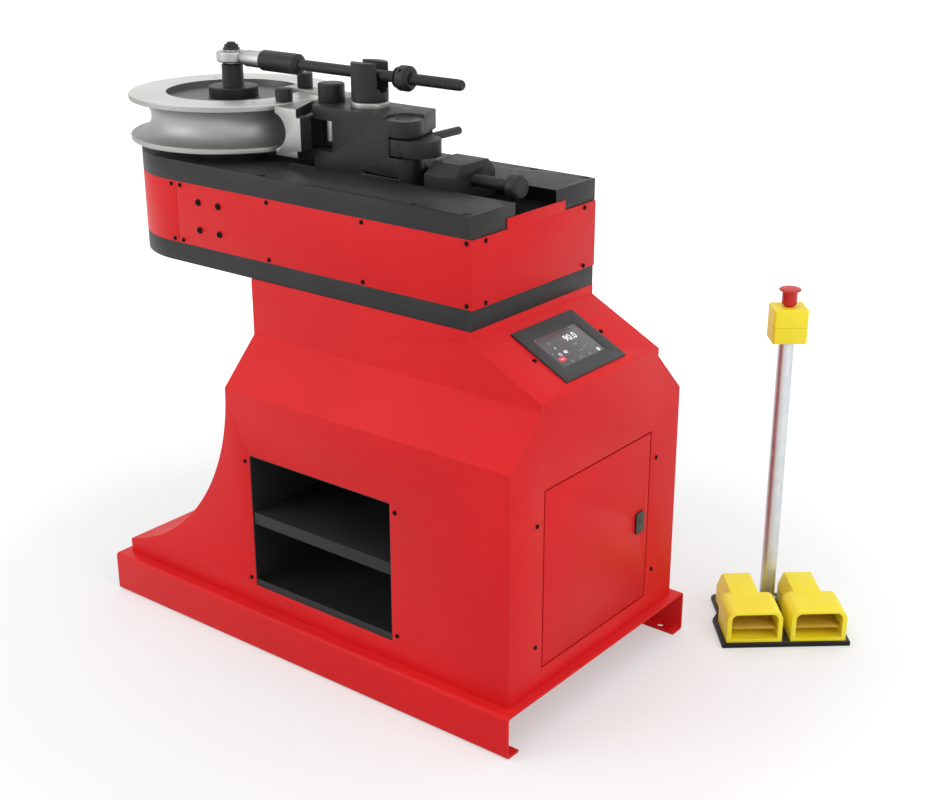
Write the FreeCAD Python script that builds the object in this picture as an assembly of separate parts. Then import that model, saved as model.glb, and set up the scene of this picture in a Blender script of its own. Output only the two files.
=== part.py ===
import FreeCAD, Part
import math
import os

V = FreeCAD.Vector
X_AXIS = V(1, 0, 0)
Y_AXIS = V(0, 1, 0)
Z_AXIS = V(0, 0, 1)

# Frame of the part: origin on the floor at the centre of the four anchor holes,
# +X towards the end with the control panel, -Y the long side with the tool shelf, +Z up.

# Bevels of turned pieces
BEVEL = 2.0
WIDE_BEVEL = 3.0

# Clearances
RUNNING_FIT = 0.05        # radial play of a shaft in its bearing
SLIDE_GAP = 0.2           # play of a sliding flat face
SIDE_PLAY = 1.5           # play of the carriage beside the channel walls
SEAT_GAP = 0.3            # between solids of different bodies that only come close

# Base pan, bent from one plate, open at both ends
BASE_LENGTH = 1340.0
BASE_WIDTH = 762.0
BASE_HEIGHT = 108.0
BASE_SHEET = 6.0
BASE_LIP = 44.0
BASE_BEND = 9.0
ANCHOR_END = 50.0         # anchor hole centre from the base's end
ANCHOR_EDGE = 24.0        # anchor hole centre from the long outer face
ANCHOR_HOLE_R = 9.0
ANCHOR_SPACING_X = BASE_LENGTH - 2 * ANCHOR_END

# Cabinet, welded from four bent sheets
SHEET = 4.0
SIDE_SETBACK = 34.0       # of the side walls from the base's edges
END_SETBACK = 22.5        # of the end face from the base's right end
FOOT_SETBACK = 27.0       # of the hollow sweep's foot from the base's left end
WALL_HEIGHT = 574.0       # upright part of the side walls
SHOULDER_RISE = 110.0     # of the side slopes
NECK_HEIGHT = 143.0
SLOPE_RUN = 193.5         # of the control slope, along X
SLOPE_DROP = 99.0
SLOPE_BELOW_HEAD = 24.0
NECK_LENGTH = 683.5
NECK_PROUD = 2.0          # of the neck beside the head
TOE_HEIGHT = 39.7         # foot of the hollow sweep under the nose, above the base
HEAD_HALF_WIDTH = 237.0
CABINET_HALF_WIDTH = BASE_WIDTH / 2 - SIDE_SETBACK
NECK_HALF_WIDTH = HEAD_HALF_WIDTH + NECK_PROUD
SHOULDER_Z = BASE_HEIGHT + WALL_HEIGHT
NECK_FOOT_Z = SHOULDER_Z + SHOULDER_RISE
HEAD_Z = NECK_FOOT_Z + NECK_HEIGHT
SLOPE_TOP_Z = HEAD_Z - SLOPE_BELOW_HEAD
END_FACE_TOP_Z = SLOPE_TOP_Z - SLOPE_DROP
END_FACE_X = BASE_LENGTH / 2 - END_SETBACK
FOOT_END_X = FOOT_SETBACK - BASE_LENGTH / 2
NECK_END_X = END_FACE_X - SLOPE_RUN
NECK_LEFT_X = NECK_END_X - NECK_LENGTH
SWEEP_RUN = NECK_LEFT_X - FOOT_END_X
SWEEP_DROP = WALL_HEIGHT - TOE_HEIGHT
ARC_RADIUS = (SWEEP_RUN ** 2 + SWEEP_DROP ** 2) / (2 * SWEEP_RUN)

# Shelf box in the near side
SHELF_MIDDLE_X = 73.0
SHELF_WIDTH = 458.0
SHELF_RISE = 53.5         # above the base
SHELF_HEIGHT = 359.0
SHELF_DEPTH = 250.0
SHELF_SHEET = 2.0
SHELF_FLANGE = 28.0
SHELF_LIP = 19.0
SHELF_INSET = 1.0         # of the box's front edge behind the side's face
MID_SHELF_RISE = 204.5
MID_SHELF_LIP = 31.0
MID_SHELF_INSET = 3.0
CABINET_SCREW_OUT = 15.5  # screw centre outside an opening's edge
SHELF_X0 = SHELF_MIDDLE_X - SHELF_WIDTH / 2
SHELF_X1 = SHELF_MIDDLE_X + SHELF_WIDTH / 2
SHELF_Z0 = BASE_HEIGHT + SHELF_RISE
SHELF_Z1 = SHELF_Z0 + SHELF_HEIGHT
MID_SHELF_Z = SHELF_Z0 + MID_SHELF_RISE

# Door in the end face
DOOR_HALF_WIDTH = 218.0
DOOR_HEIGHT = 440.0
DOOR_RISE = 52.0          # above the base
DOOR_GAP = 4.0
DOOR_SHEET = 3.0
DOOR_FLANGE = 18.0
HINGE_INSET_X = 8.0       # hinge axis behind the outer face
HINGE_INSET_Y = 7.0       # hinge axis from the door's edge
HINGE_PIN_R = 3.0
HINGE_PIN_LENGTH = 16.0
HINGE_BRACKET = 28.0
LOCK_EDGE = 37.5          # lock axis from the door's free edge
LOCK_RISE = 217.0         # lock axis above the door's lower edge
LOCK_PLATE_WIDTH = 36.0
LOCK_PLATE_HEIGHT = 56.0
LOCK_PLATE_THICK = 5.0
LOCK_PLATE_CORNER = 8.0
LOCK_BARREL_R = 11.0
LOCK_BARREL_BACK = 22.0
LOCK_CORE_R = 7.0
LOCK_CORE_PROUD = 1.0
KEY_SLOT = 2.4
LOCK_CAM_BACK = 28.0      # behind the outer face
LOCK_CAM_T = 4.0
LOCK_CAM_HALF = 8.0
KEEPER_GAP = 2.0
KEEPER_LAP = 10.5         # of the cam behind the keeper when locked
DOOR_Z0 = BASE_HEIGHT + DOOR_RISE
DOOR_Z1 = DOOR_Z0 + DOOR_HEIGHT
LOCK_Y = DOOR_HALF_WIDTH - LOCK_EDGE
LOCK_Z = DOOR_Z0 + LOCK_RISE
LOCK_CAM_REACH = LOCK_EDGE + DOOR_GAP + KEEPER_LAP
HINGE_X = END_FACE_X - HINGE_INSET_X
HINGE_Y = HINGE_INSET_Y - DOOR_HALF_WIDTH

# Control screen on the slope
BEZEL_WIDTH = 238.0
BEZEL_HEIGHT = 174.0
BEZEL_THICK = 5.0
BEZEL_START = 22.0        # along the slope from its top edge
DISPLAY_WIDTH = 168.0
DISPLAY_HEIGHT = 101.0
DISPLAY_DEPTH = 38.0
DISPLAY_SINK = 1.5        # glass below the bezel's face
DISPLAY_ROOM = 2.0        # between the display and the cut-out behind it

# Electrical parts behind the door
COMPONENT_SETBACK = 167.5
COMPONENT_INSET = 18.0    # of the plate's edges inside the door's width
COMPONENT_OVER_DOOR = 20.0
COMPONENT_FOOT = 43.0
COMPONENT_PLATE_T = 3.0
INVERTER_DEPTH = 125.0
INVERTER_WIDTH = 150.0
INVERTER_HEIGHT = 220.0
INVERTER_MARGIN = 25.0    # from the plate's edge
INVERTER_DROP = 40.0      # from the plate's top
INVERTER_PANEL = 3.0
INVERTER_CORNER = 6.0
CONTACTOR_DEPTH = 80.0
CONTACTOR_WIDTH = 45.0
CONTACTOR_HEIGHT = 82.0
CONTACTOR_GAP = 4.0
CONTACTOR_NOSE = 8.0
CONTACTOR_MARGIN = 20.0   # of the nose inside the body, above and below
CONTACTOR_RISE = 120.0    # above the base
CONTACTOR_COUNT = 4
RAIL_DEPTH = 8.0
RAIL_HEIGHT = 35.0
RAIL_LIP = 4.0
RAIL_LIP_T = 1.5
RAIL_SPARE = 15.0
COMPONENT_PLATE_X = END_FACE_X - COMPONENT_SETBACK
COMPONENT_PLATE_HALF = DOOR_HALF_WIDTH - COMPONENT_INSET
COMPONENT_PLATE_TOP = DOOR_Z1 + COMPONENT_OVER_DOOR

# Spindle line and head: two plates and the covers between them
SPINDLE_REACH = 280.5     # of the spindle's axis before the neck
NOSE_FORWARD = 8.0        # of the round nose's centre before the spindle
HEAD_PROUD = 0.5          # of the head's end beyond the neck
BOTTOM_PLATE_T = 49.0
COVER_HEIGHT = 158.0
TOP_PLATE_T = 53.0
COVER_SHEET = 3.0
COVER_SEAM_BACK = 25.0    # from the spindle's axis
SEAM_GAP = 1.0
CHANNEL_HALF_WIDTH = 78.5
CHANNEL_DEPTH = 32.0
CHANNEL_START = 278.0     # from the spindle's axis
TAB_OVERHANG = 32.5       # of the end cover's tab beside the channel
TAB_RISE = 3.0            # above the channel's floor
SPACER_DEPTH = 28.0
SPACER_MARGIN = 24.0      # beyond the screws that a block takes
SPINDLE_X = NECK_LEFT_X - SPINDLE_REACH
NOSE_X = SPINDLE_X - NOSE_FORWARD
HEAD_END_X = NECK_END_X + HEAD_PROUD
COVER_SEAM_X = SPINDLE_X + COVER_SEAM_BACK
CHANNEL_LEFT_X = SPINDLE_X + CHANNEL_START
TAB_HALF_WIDTH = CHANNEL_HALF_WIDTH + TAB_OVERHANG
BOTTOM_PLATE_TOP = HEAD_Z + BOTTOM_PLATE_T
TOP_PLATE_Z = BOTTOM_PLATE_TOP + COVER_HEIGHT
DECK_Z = TOP_PLATE_Z + TOP_PLATE_T
CHANNEL_FLOOR_Z = DECK_Z - CHANNEL_DEPTH

# Spindle, its bearings and the flange that drives the die
SPINDLE_R = 55.0
BEARING_R = 85.0
BEARING_HEIGHT = 40.0
BEARING_SINK = 6.0        # of the upper bearing below the top plate's face
CAP_R = 136.0
CAP_HEIGHT = 46.0
CAP_BEVEL = 10.0
CAP_FLOOR = 14.0
CAP_ROOM = 8.0            # round the spindle's foot
SPINDLE_FOOT = 20.0       # above the cap's underside
DRIVE_FLANGE_R = 140.0
DRIVE_PIN_R = 12.0
DRIVE_PIN_PCR = 105.0
DRIVE_PIN_REACH = 30.0
DIE_SEAT_R = 45.0
FLANGE_LIFT = 1.0         # of the drive flange above the top plate
DIE_LIFT = 25.0           # of the die above the top plate

# Tube and bending die
TUBE_R = 44.45            # 88.9 mm tube, the largest that this die takes
TUBE_PLAY = 0.25
BEND_RADIUS = 257.0       # centreline of the bend
DIE_RIM = 9.0             # of the die's lips beyond the centreline
DIE_LIP = 13.3            # height of the lips above and below the groove
POCKET_R = 172.0
POCKET_DEPTH = 17.0
DIE_TAPPED_R = 5.0
DIE_TAPPED_PCR = 210.0
DIE_TAPPED_ANGLE = -30.0
GROOVE_R = TUBE_R + TUBE_PLAY
DIE_R = BEND_RADIUS + DIE_RIM
DIE_HEIGHT = 2 * (GROOVE_R + DIE_LIP)
DIE_BOTTOM_Z = DECK_Z + DIE_LIFT
DIE_TOP_Z = DIE_BOTTOM_Z + DIE_HEIGHT
TUBE_Z = DIE_BOTTOM_Z + DIE_HEIGHT / 2
TUBE_X = SPINDLE_X + BEND_RADIUS
POCKET_FLOOR_Z = DIE_TOP_Z - POCKET_DEPTH

# Hub, post and the joint of the tie rod on top of the spindle
HUB_R = 63.0
HUB_HEIGHT = 27.0
POST_R = 27.5
POST_ROOM = 5.0           # between the post and the eye above it
STUD_R = 12.0
STUD_PROUD = 23.0         # above the eye
BALL_R = 22.0
BALL_HEIGHT = 26.0
BUSH_WALL = 2.5
BUSH_NECK = 4.0           # above the eye
ROD_RISE = 84.0           # axis of the tie rod above the die
EYE_R = 39.0
EYE_HEIGHT = 26.0
EYE_MOUTH = 4.0           # narrower than the ball, above and below
POST_NUT_R = 22.0
POST_NUT_FLANGE = 6.0
POST_NUT_HEIGHT = 13.0
ROD_Z = DIE_TOP_Z + ROD_RISE
POST_TOP_Z = ROD_Z - EYE_HEIGHT / 2 - POST_ROOM

# Counter die, its holder and the fork's pin
SHOE_GAP = 1.5            # between the counter die's front and the die's rim
HOLDER_PIN_BACK = 79.0    # axis of the pin from the die's rim
HOLDER_PIN_R = 25.0
HOLDER_PIN_HEAD_R = 33.0
HOLDER_PIN_HEAD = 45.0
HOLDER_PIN_FOOT = 20.0    # above the carriage's underside
HOLDER_ROUND_R = 30.0
HOLDER_HALF_WIDTH = 60.0
HOLDER_STRAP_T = 12.0
HOLDER_NECK_PAST = 5.0    # of the neck beyond the pin's axis
HOLDER_NECK_HALF = 42.0
HOLDER_FACE_T = 14.0
SHOE_Y0 = -120.0
SHOE_Y1 = 60.0
SHOE_PROUD = 1.0          # above and below the die
SHOE_BACK = 30.0          # back of the counter die before the pin's axis
SHOE_EAR_BACK = 8.0       # end of the ear behind the pin's axis
SHOE_EAR_ROOM = 7.0       # between the ear and the carriage
SHOE_EAR_RISE = 7.0
SHOE_FLANGE_Y = -11.0     # where the slanted back of the flanges ends
SHOE_FLANGE_T = 20.5      # thickness of the flanges there
SHOE_CORNER_BACK = 5.0    # near corner of the flanges before the pin's axis
HOLDER_PIN_X = SPINDLE_X + DIE_R + HOLDER_PIN_BACK
SHOE_FRONT_X = SPINDLE_X + DIE_R + SHOE_GAP
SHOE_Z0 = DIE_BOTTOM_Z - SHOE_PROUD
SHOE_Z1 = DIE_TOP_Z + SHOE_PROUD
SHOE_BACK_X = HOLDER_PIN_X - SHOE_BACK
SHOE_EAR_X = HOLDER_PIN_X + SHOE_EAR_BACK
SHOE_FLANGE_X = SHOE_FRONT_X + SHOE_FLANGE_T
SHOE_CORNER_X = HOLDER_PIN_X - SHOE_CORNER_BACK

# Carriage in the channel
CARRIAGE_RISE = 6.0       # of its top above the die's
CARRIAGE_CORNER = 8.0     # start of the nose's chamfers behind the pin's axis
CARRIAGE_NOSE = 40.0      # of the nose before the pin's axis
CARRIAGE_NOSE_HALF = 18.0
JAW_FLOOR = 16.0          # of the fork above the die's underside
JAW_HEIGHT = 75.0
JAW_DEPTH = 70.0          # of the fork behind the pin's axis
POST_BACK = 126.0         # slotted post behind the pin's axis
SLOTTED_POST_R = 45.0
SLOTTED_POST_RISE = 29.0  # above the tie rod's axis
WASHER_R = 47.0
WASHER_HEIGHT = 15.0
SLOT_ROOM = 6.5           # beside the tie rod
SLOT_DROP = 40.0          # of the slot's floor below the tie rod's axis
SLOT_FLUTE = 8.0          # narrower and deeper bottom of the slot
SPIGOT_R = 20.0
SPIGOT_DEPTH = 25.0
CARRIAGE_HALF_WIDTH = CHANNEL_HALF_WIDTH - SIDE_PLAY
SHOE_EAR_Y = -CARRIAGE_HALF_WIDTH - SHOE_EAR_ROOM
CARRIAGE_BOTTOM_Z = CHANNEL_FLOOR_Z + SLIDE_GAP
CARRIAGE_TOP_Z = DIE_TOP_Z + CARRIAGE_RISE
CARRIAGE_CORNER_X = HOLDER_PIN_X + CARRIAGE_CORNER
CARRIAGE_NOSE_X = HOLDER_PIN_X - CARRIAGE_NOSE
JAW_Z0 = DIE_BOTTOM_Z + JAW_FLOOR
JAW_Z1 = JAW_Z0 + JAW_HEIGHT
JAW_GAP_END_X = HOLDER_PIN_X + JAW_DEPTH
POST_X = HOLDER_PIN_X + POST_BACK

# Tie rod through the slotted post
ROD_R = 13.5
SLEEVE_R = 26.0
SLEEVE_START = 115.0      # from the spindle's axis
SLEEVE_LENGTH = 131.0
SLEEVE_NECK = 4.0         # bevel at the eye's end
SLEEVE_NOSE = 9.0         # bevel at the rod's end
ROD_REACH = 509.0         # of the rod beyond its sleeve
ROD_TIP = 4.0
SHANK_R = 21.0
SHANK_ROOT_R = 12.0
TIE_NUT_R = 30.0
TIE_NUT_SETBACK = 48.0    # from the slotted post
TIE_NUT_LENGTH = 41.0
TIE_NUT_BEVEL = 9.0
TIE_WASHER_T = 5.0
TIE_WASHER_R = 25.0
TOMMY_HOLE_R = 4.0
SLEEVE_X0 = SPINDLE_X + SLEEVE_START
SLEEVE_X1 = SLEEVE_X0 + SLEEVE_LENGTH
ROD_END_X = SLEEVE_X1 + ROD_REACH
TIE_NUT_X = POST_X + SLOTTED_POST_R + TIE_NUT_SETBACK
SLOT_HALF_WIDTH = ROD_R + SLOT_ROOM
SLOT_FLOOR_Z = ROD_Z - SLOT_DROP
SLOTTED_POST_TOP_Z = ROD_Z + SLOTTED_POST_RISE

# Quick release at the carriage's right end, and the nut block beyond it
CAM_BACK = 142.0          # release axis behind the slotted post's
KNUCKLE_R = 41.0
KNUCKLE_PROUD = 2.0       # of the knuckle beside the carriage
KNUCKLE_POCKET_R = 48.0
KNUCKLE_POCKET_DEPTH = 8.0
KNUCKLE_POCKET_SHIFT = 10.0
KNUCKLE_SLANT = 14.0      # degrees, of the carriage's end
BACK_CORNER = 2.0         # far back corner before the release axis
CAM_JOURNAL_R = 22.0
CAM_JOURNAL_FOOT = 30.0   # above the carriage's underside
CAM_DISC_R = 52.0
CAM_DISC_T = 39.0
CAM_OFFSET_X = 33.0       # of the disc's centre from the release axis
CAM_OFFSET_Y = 11.0
CAM_CLEAR = 2.0           # between the disc and the nut block under it
CAM_ROOM = 4.5            # above and below the disc in its slot
CAM_SLOT_ROOM = 2.0       # beside the hub, the disc and the bar
CAM_SWING = 45.0          # degrees that the slot leaves free
LEVER_R = 10.0
LEVER_LENGTH = 205.0
LEVER_RISE = 6.0          # above the middle of the disc
NUT_BLOCK_GAP = 83.0      # from the release axis
NUT_BLOCK_LENGTH = 94.0
NUT_BLOCK_HEIGHT = 87.0
NUT_BLOCK_CHAMFER = 27.0
NUT_BLOCK_SCALLOP_R = 96.0  # about the release axis
SIDE_RECESS_START = 43.0  # from the slotted post's axis
SIDE_RECESS_PAST = 12.0   # beyond the release axis
SIDE_RECESS_RISE = 4.0    # above the top plate
SIDE_RECESS_HEIGHT = 6.0
SIDE_RECESS_DEPTH = 14.0
CAM_X = POST_X + CAM_BACK
CAM_Y = KNUCKLE_R - CARRIAGE_HALF_WIDTH - KNUCKLE_PROUD
CARRIAGE_BACK_X = CAM_X - BACK_CORNER
NUT_BLOCK_X0 = CAM_X + NUT_BLOCK_GAP
NUT_BLOCK_X1 = NUT_BLOCK_X0 + NUT_BLOCK_LENGTH
NUT_BLOCK_TOP_Z = CHANNEL_FLOOR_Z + NUT_BLOCK_HEIGHT
CAM_DISC_Z0 = NUT_BLOCK_TOP_Z + CAM_CLEAR
CAM_DISC_Z1 = CAM_DISC_Z0 + CAM_DISC_T
CAM_SLOT_Z0 = CAM_DISC_Z0 - CAM_ROOM
CAM_SLOT_Z1 = CAM_DISC_Z1 + CAM_ROOM
LEVER_TIP_Y = CAM_Y + LEVER_LENGTH
SIDE_RECESS_X0 = POST_X + SIDE_RECESS_START
SIDE_RECESS_X1 = CAM_X + SIDE_RECESS_PAST
SIDE_RECESS_Z0 = DECK_Z + SIDE_RECESS_RISE
SIDE_RECESS_Z1 = SIDE_RECESS_Z0 + SIDE_RECESS_HEIGHT

# Feed screw
SCREW_RISE = 45.0         # axis above the channel's floor
SCREW_R = 15.0
SCREW_NOSE_R = 11.0
SCREW_SHOULDER = 2.0      # from the knuckle
SCREW_HEAD_R = 30.0
SCREW_HEAD_GAP = 100.0    # from the nut block
SCREW_HEAD_LENGTH = 36.0
SCREW_HEAD_BEVEL = 7.0
SCREW_Z = CHANNEL_FLOOR_Z + SCREW_RISE
SCREW_NOSE_X = CARRIAGE_BACK_X - SLIDE_GAP
SCREW_SHOULDER_X = CAM_X + KNUCKLE_R + SCREW_SHOULDER
SCREW_HEAD_X = NUT_BLOCK_X1 + SCREW_HEAD_GAP

# Clamp hook that grips the tube against the die
HOOK_ROOM = 12.0          # between the counter die and the hook
HOOK_WIDTH = 44.0
HOOK_PIVOT_BACK = 165.0   # pivot from the spindle's axis, along X
HOOK_TAIL = 57.0          # of the arm behind the pivot
HOOK_ARM_T = 8.0
HOOK_LEG_T = 20.0
HOOK_TOE = 40.0
HOOK_PAD = 12.0
HOOK_TUBE_GAP = 2.0
HOOK_PIVOT_R = 11.0
BOLT_DEPTH = 10.0         # of the pivot bolt and the lifting holes in the die
REAR_BOLT_R = 20.0
REAR_BOLT_RISE = 47.0     # above the die
FRONT_BOLT_BACK = 226.0   # from the spindle's axis, along X
FRONT_BOLT_Y = -44.0
FRONT_BOLT_R = 21.5
FRONT_BOLT_RISE = 31.0
HOOK_Y0 = SHOE_Y1 + HOOK_ROOM
HOOK_Y1 = HOOK_Y0 + HOOK_WIDTH
HOOK_PIVOT_X = SPINDLE_X + HOOK_PIVOT_BACK
HOOK_PIVOT_Y = HOOK_Y0 + HOOK_WIDTH / 2
HOOK_X0 = HOOK_PIVOT_X - HOOK_TAIL
FRONT_BOLT_X = SPINDLE_X + FRONT_BOLT_BACK
REAR_BOLT_TOP_Z = DIE_TOP_Z + REAR_BOLT_RISE
FRONT_BOLT_TOP_Z = DIE_TOP_Z + FRONT_BOLT_RISE

# Gear train in the head
MODULE = 6.0
SPINDLE_TEETH = 60
IDLER_TEETH = 35
PINION_TEETH = 15
GEAR_RISE = 51.0          # above the bottom plate
GEAR_WIDTH = 60.0
GEAR_WINDOW_R = 24.0
TOOTH_THICKNESS = 0.40    # share of the circular pitch, the rest is backlash
IDLER_AXLE_R = 25.0
IDLER_COLLAR = 12.0
PINION_SHAFT_R = 22.0
PINION_SHAFT_ROOM = 12.0  # in the bottom plate
PINION_SHAFT_SINK = 60.0  # into the gear unit
PINION_SHAFT_PROUD = 10.0
GEAR_Z0 = BOTTOM_PLATE_TOP + GEAR_RISE
IDLER_X = SPINDLE_X + MODULE * (SPINDLE_TEETH + IDLER_TEETH) / 2
PINION_X = IDLER_X + MODULE * (IDLER_TEETH + PINION_TEETH) / 2

# Gear unit and motor in the neck
REDUCER_LENGTH = 250.0
REDUCER_WIDTH = 240.0
REDUCER_HEIGHT = 225.0
REDUCER_RIGHT = 120.0     # from the pinion's axis to the motor's face
REDUCER_CHAMFER = 18.0
REDUCER_RIB_T = 8.0
REDUCER_RIB = 12.0
REDUCER_RIB_FOOT = 30.0
MOTOR_R = 92.0
MOTOR_LENGTH = 265.0
MOTOR_DROP = 125.0        # motor axis below the head
MOTOR_FLANGE = 8.0
MOTOR_FLANGE_T = 14.0
MOTOR_FIN = 9.0
MOTOR_FIN_T = 3.6
MOTOR_FIN_START = 30.0
MOTOR_FIN_COUNT = 24
FAN_COVER_LENGTH = 60.0
TERMINAL_START = 60.0
TERMINAL_LENGTH = 110.0
TERMINAL_WIDTH = 110.0
TERMINAL_RISE = 26.0

# Foot control, free on the floor beyond the far corner
FOOT_BEYOND_X = 135.0     # of its near corner, from the base's end
FOOT_INSIDE_Y = 25.0      # of its near corner, from the base's far edge
FOOT_ANGLE = 40.25
FOOT_WIDTH = 331.0
FOOT_DEPTH = 270.0
FOOT_PLATE_T = 12.0
FOOT_NOTCH = 19.0         # of the plate's waist beside the switch boxes
FOOT_TAIL = 10.0          # chamfer of its back corners
HOOD_WIDTH = 143.5
HOOD_DEPTH = 113.0
HOOD_HEIGHT = 85.0
HOOD_MARGIN = 11.0
HOOD_FRONT = 6.0
HOOD_WALL = 12.0
HOOD_ROOF = 6.0
HOOD_SILL = 10.0
HOOD_BACK = 12.0          # thickness behind the mouth
HOOD_CORNER_R = 22.0
REAR_BOX_SHIFT = 14.5
REAR_BOX_WIDTH = 100.0
REAR_BOX_DEPTH = 133.0
REAR_BOX_LAP = 20.0       # into the guard
REAR_BOX_SLOPE = 14.0     # run of its sloped shoulders
REAR_BOX_SHOULDER = 48.0  # height where they start
REAR_BOX_CHAMFER = 6.0    # of its back edge
REAR_BOX_HEIGHT = 86.0
TREADLE_T = 8.0
TREADLE_PIN_R = 4.0
TREADLE_PIN_RISE = 13.0   # above the sill
TREADLE_BARREL_WALL = 5.0
TREADLE_ROOM = 4.0        # beside and behind the treadle
TREADLE_INSET = 14.0      # front edge behind the hood's mouth
TREADLE_RISE = 12.0       # of the front above the pin
COLUMN_R = 20.0
COLUMN_HEIGHT = 740.0
COLUMN_SETBACK = 236.0
COLUMN_FOOT_WALL = 4.0
COLUMN_FOOT_HEIGHT = 8.0
STOP_BOX_WIDTH = 88.0
STOP_BOX_DEPTH = 74.0
STOP_BOX_HEIGHT = 90.0
STOP_BOX_SEAM = 42.0
STOP_BOX_CORNER = 7.0
STOP_BOX_CHAMFER = 5.0
STOP_BOX_GROOVE = 2.5
STOP_STEM_R = 12.0
STOP_STEM_DEPTH = 30.0
STOP_TRAVEL_ROOM = 6.0
STOP_NECK_R = 19.0
STOP_NECK_HEIGHT = 41.0
STOP_HEAD_R = 28.0
STOP_HEAD_HEIGHT = 8.0
FOOT_X = BASE_LENGTH / 2 + FOOT_BEYOND_X
FOOT_Y = BASE_WIDTH / 2 - FOOT_INSIDE_Y
STOP_BOX_Z = FOOT_PLATE_T + COLUMN_HEIGHT
TREADLE_FRONT = HOOD_FRONT + TREADLE_INSET

# Screws on the covers, the top plate and the cabinet
TOP_SCREW_R = 10.0
TOP_SCREW_SINK = 12.0
TOP_SCREW_EDGE = 11.0     # from the top plate's long edges
TOP_SCREW_END = 19.5      # last pair from the head's end
TOP_SCREW_NEXT = 152.0    # between the last two pairs
TOP_SCREW_FIRST = 323.0   # first pair from the spindle's axis
SCREW_ROOM = 0.5          # of a sunk head in its counterbore
COVER_SCREW_R = 5.5
COVER_SCREW_PROUD = 3.0
COVER_SCREW_EDGE = 8.5    # from the plates
COVER_SCREW_SEAM = 15.5   # each side of the seam
COVER_SCREW_END = 12.5    # last one from the head's end
COVER_SCREW_SPANS = 3
LARGE_SCREW_R = 8.5
LARGE_SCREW_PROUD = 4.0
LARGE_SCREW_PITCH = 71.0
LARGE_SCREW_BACK = 139.5  # middle of the four from the spindle's axis
END_SCREW_EDGE = 47.0
CABINET_SCREW_R = 5.5
DOOR_SCREW_OUT = 30.0     # from the door's long edges
DOOR_SCREW_LOW = 62.0     # above the door's lower edge
DOOR_SCREW_HIGH = 73.0    # below its upper edge
SCREEN_SCREW_OUT = 13.5   # from the bezel's edges
TOP_SCREW_X = (SPINDLE_X + TOP_SCREW_FIRST, HEAD_END_X - TOP_SCREW_END - TOP_SCREW_NEXT,
               HEAD_END_X - TOP_SCREW_END)
TOP_SCREW_Y = HEAD_HALF_WIDTH - TOP_SCREW_EDGE
COVER_SCREW_X0 = COVER_SEAM_X + COVER_SCREW_SEAM
COVER_SCREW_PITCH = (HEAD_END_X - COVER_SCREW_END - COVER_SCREW_X0) / COVER_SCREW_SPANS
LARGE_SCREW_X = SPINDLE_X + LARGE_SCREW_BACK
LARGE_SCREW_Z = BOTTOM_PLATE_TOP + COVER_HEIGHT / 2
END_SCREW_Y = HEAD_HALF_WIDTH - END_SCREW_EDGE
DOOR_SCREW_Z = (DOOR_Z0 + DOOR_SCREW_LOW, DOOR_Z1 - DOOR_SCREW_HIGH)
DOOR_SCREW_Y = DOOR_HALF_WIDTH + DOOR_SCREW_OUT
SCREEN_SCREW_Y = BEZEL_WIDTH / 2 + SCREEN_SCREW_OUT


def box(x0, x1, y0, y1, z0, z1):
    return Part.makeBox(x1 - x0, y1 - y0, z1 - z0, V(x0, y0, z0))


def upright(radius, z0, z1, x=0.0, y=0.0):
    return Part.makeCylinder(radius, z1 - z0, V(x, y, z0), Z_AXIS)


def along_x(radius, x0, x1, y=0.0, z=0.0):
    return Part.makeCylinder(radius, x1 - x0, V(x0, y, z), X_AXIS)


def along_y(radius, y0, y1, x=0.0, z=0.0):
    return Part.makeCylinder(radius, y1 - y0, V(x, y0, z), Y_AXIS)


def prism(points, direction):
    """A closed outline of corner points, pushed along a vector."""
    return Part.Face(Part.makePolygon(points + [points[0]])).extrude(direction)


def fuse(shapes):
    solid = shapes[0].fuse(shapes[1:]) if len(shapes) > 1 else shapes[0]
    return solid.removeSplitter()


def turned(profile, x=0.0, y=0.0):
    """A solid of revolution about an upright axis, from (radius, z) corners."""
    points = [V(x + r, y, z) for r, z in profile]
    return Part.Face(Part.makePolygon(points + [points[0]])).revolve(V(x, y, 0), Z_AXIS, 360)


def turned_on_x(profile, y, z):
    """A solid of revolution about an axis along X, from (x, radius) corners."""
    points = [V(px, y, z + r) for px, r in profile]
    return Part.Face(Part.makePolygon(points + [points[0]])).revolve(V(0, y, z), X_AXIS, 360)


def round_block(radius, z0, z1, foot, crown, x=0.0, y=0.0):
    """An upright cylinder with its lower and upper rims bevelled."""
    profile = [(0, z0), (radius - foot, z0)]
    if foot:
        profile.append((radius, z0 + foot))
    profile.append((radius, z1 - crown))
    if crown:
        profile.append((radius - crown, z1))
    return turned(profile + [(0, z1)], x, y)


def hexagon(radius, z0, z1, x=0.0, y=0.0):
    """An upright six-sided bar, by the radius of its corners."""
    corners = [V(x + radius * math.cos(math.radians(60 * i)), y + radius * math.sin(math.radians(60 * i)), z0)
               for i in range(6)]
    return prism(corners, V(0, 0, z1 - z0))


def spans(length, size):
    """Whether an edge's extent equals a size."""
    return abs(length - size) < 1e-6


def edges_where(shape, test):
    """The edges whose every vertex passes a test."""
    return [e for e in shape.Edges if all(test(v.Point) for v in e.Vertexes)]


def upright_edges(shape, test=lambda p: True):
    """The straight upright edges at places that pass a test."""
    found = []
    for edge in shape.Edges:
        if len(edge.Vertexes) < 2:
            continue
        a, b = edge.Vertexes[0].Point, edge.Vertexes[1].Point
        if abs(a.x - b.x) < 1e-6 and abs(a.y - b.y) < 1e-6 and test(a):
            found.append(edge)
    return found


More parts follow.
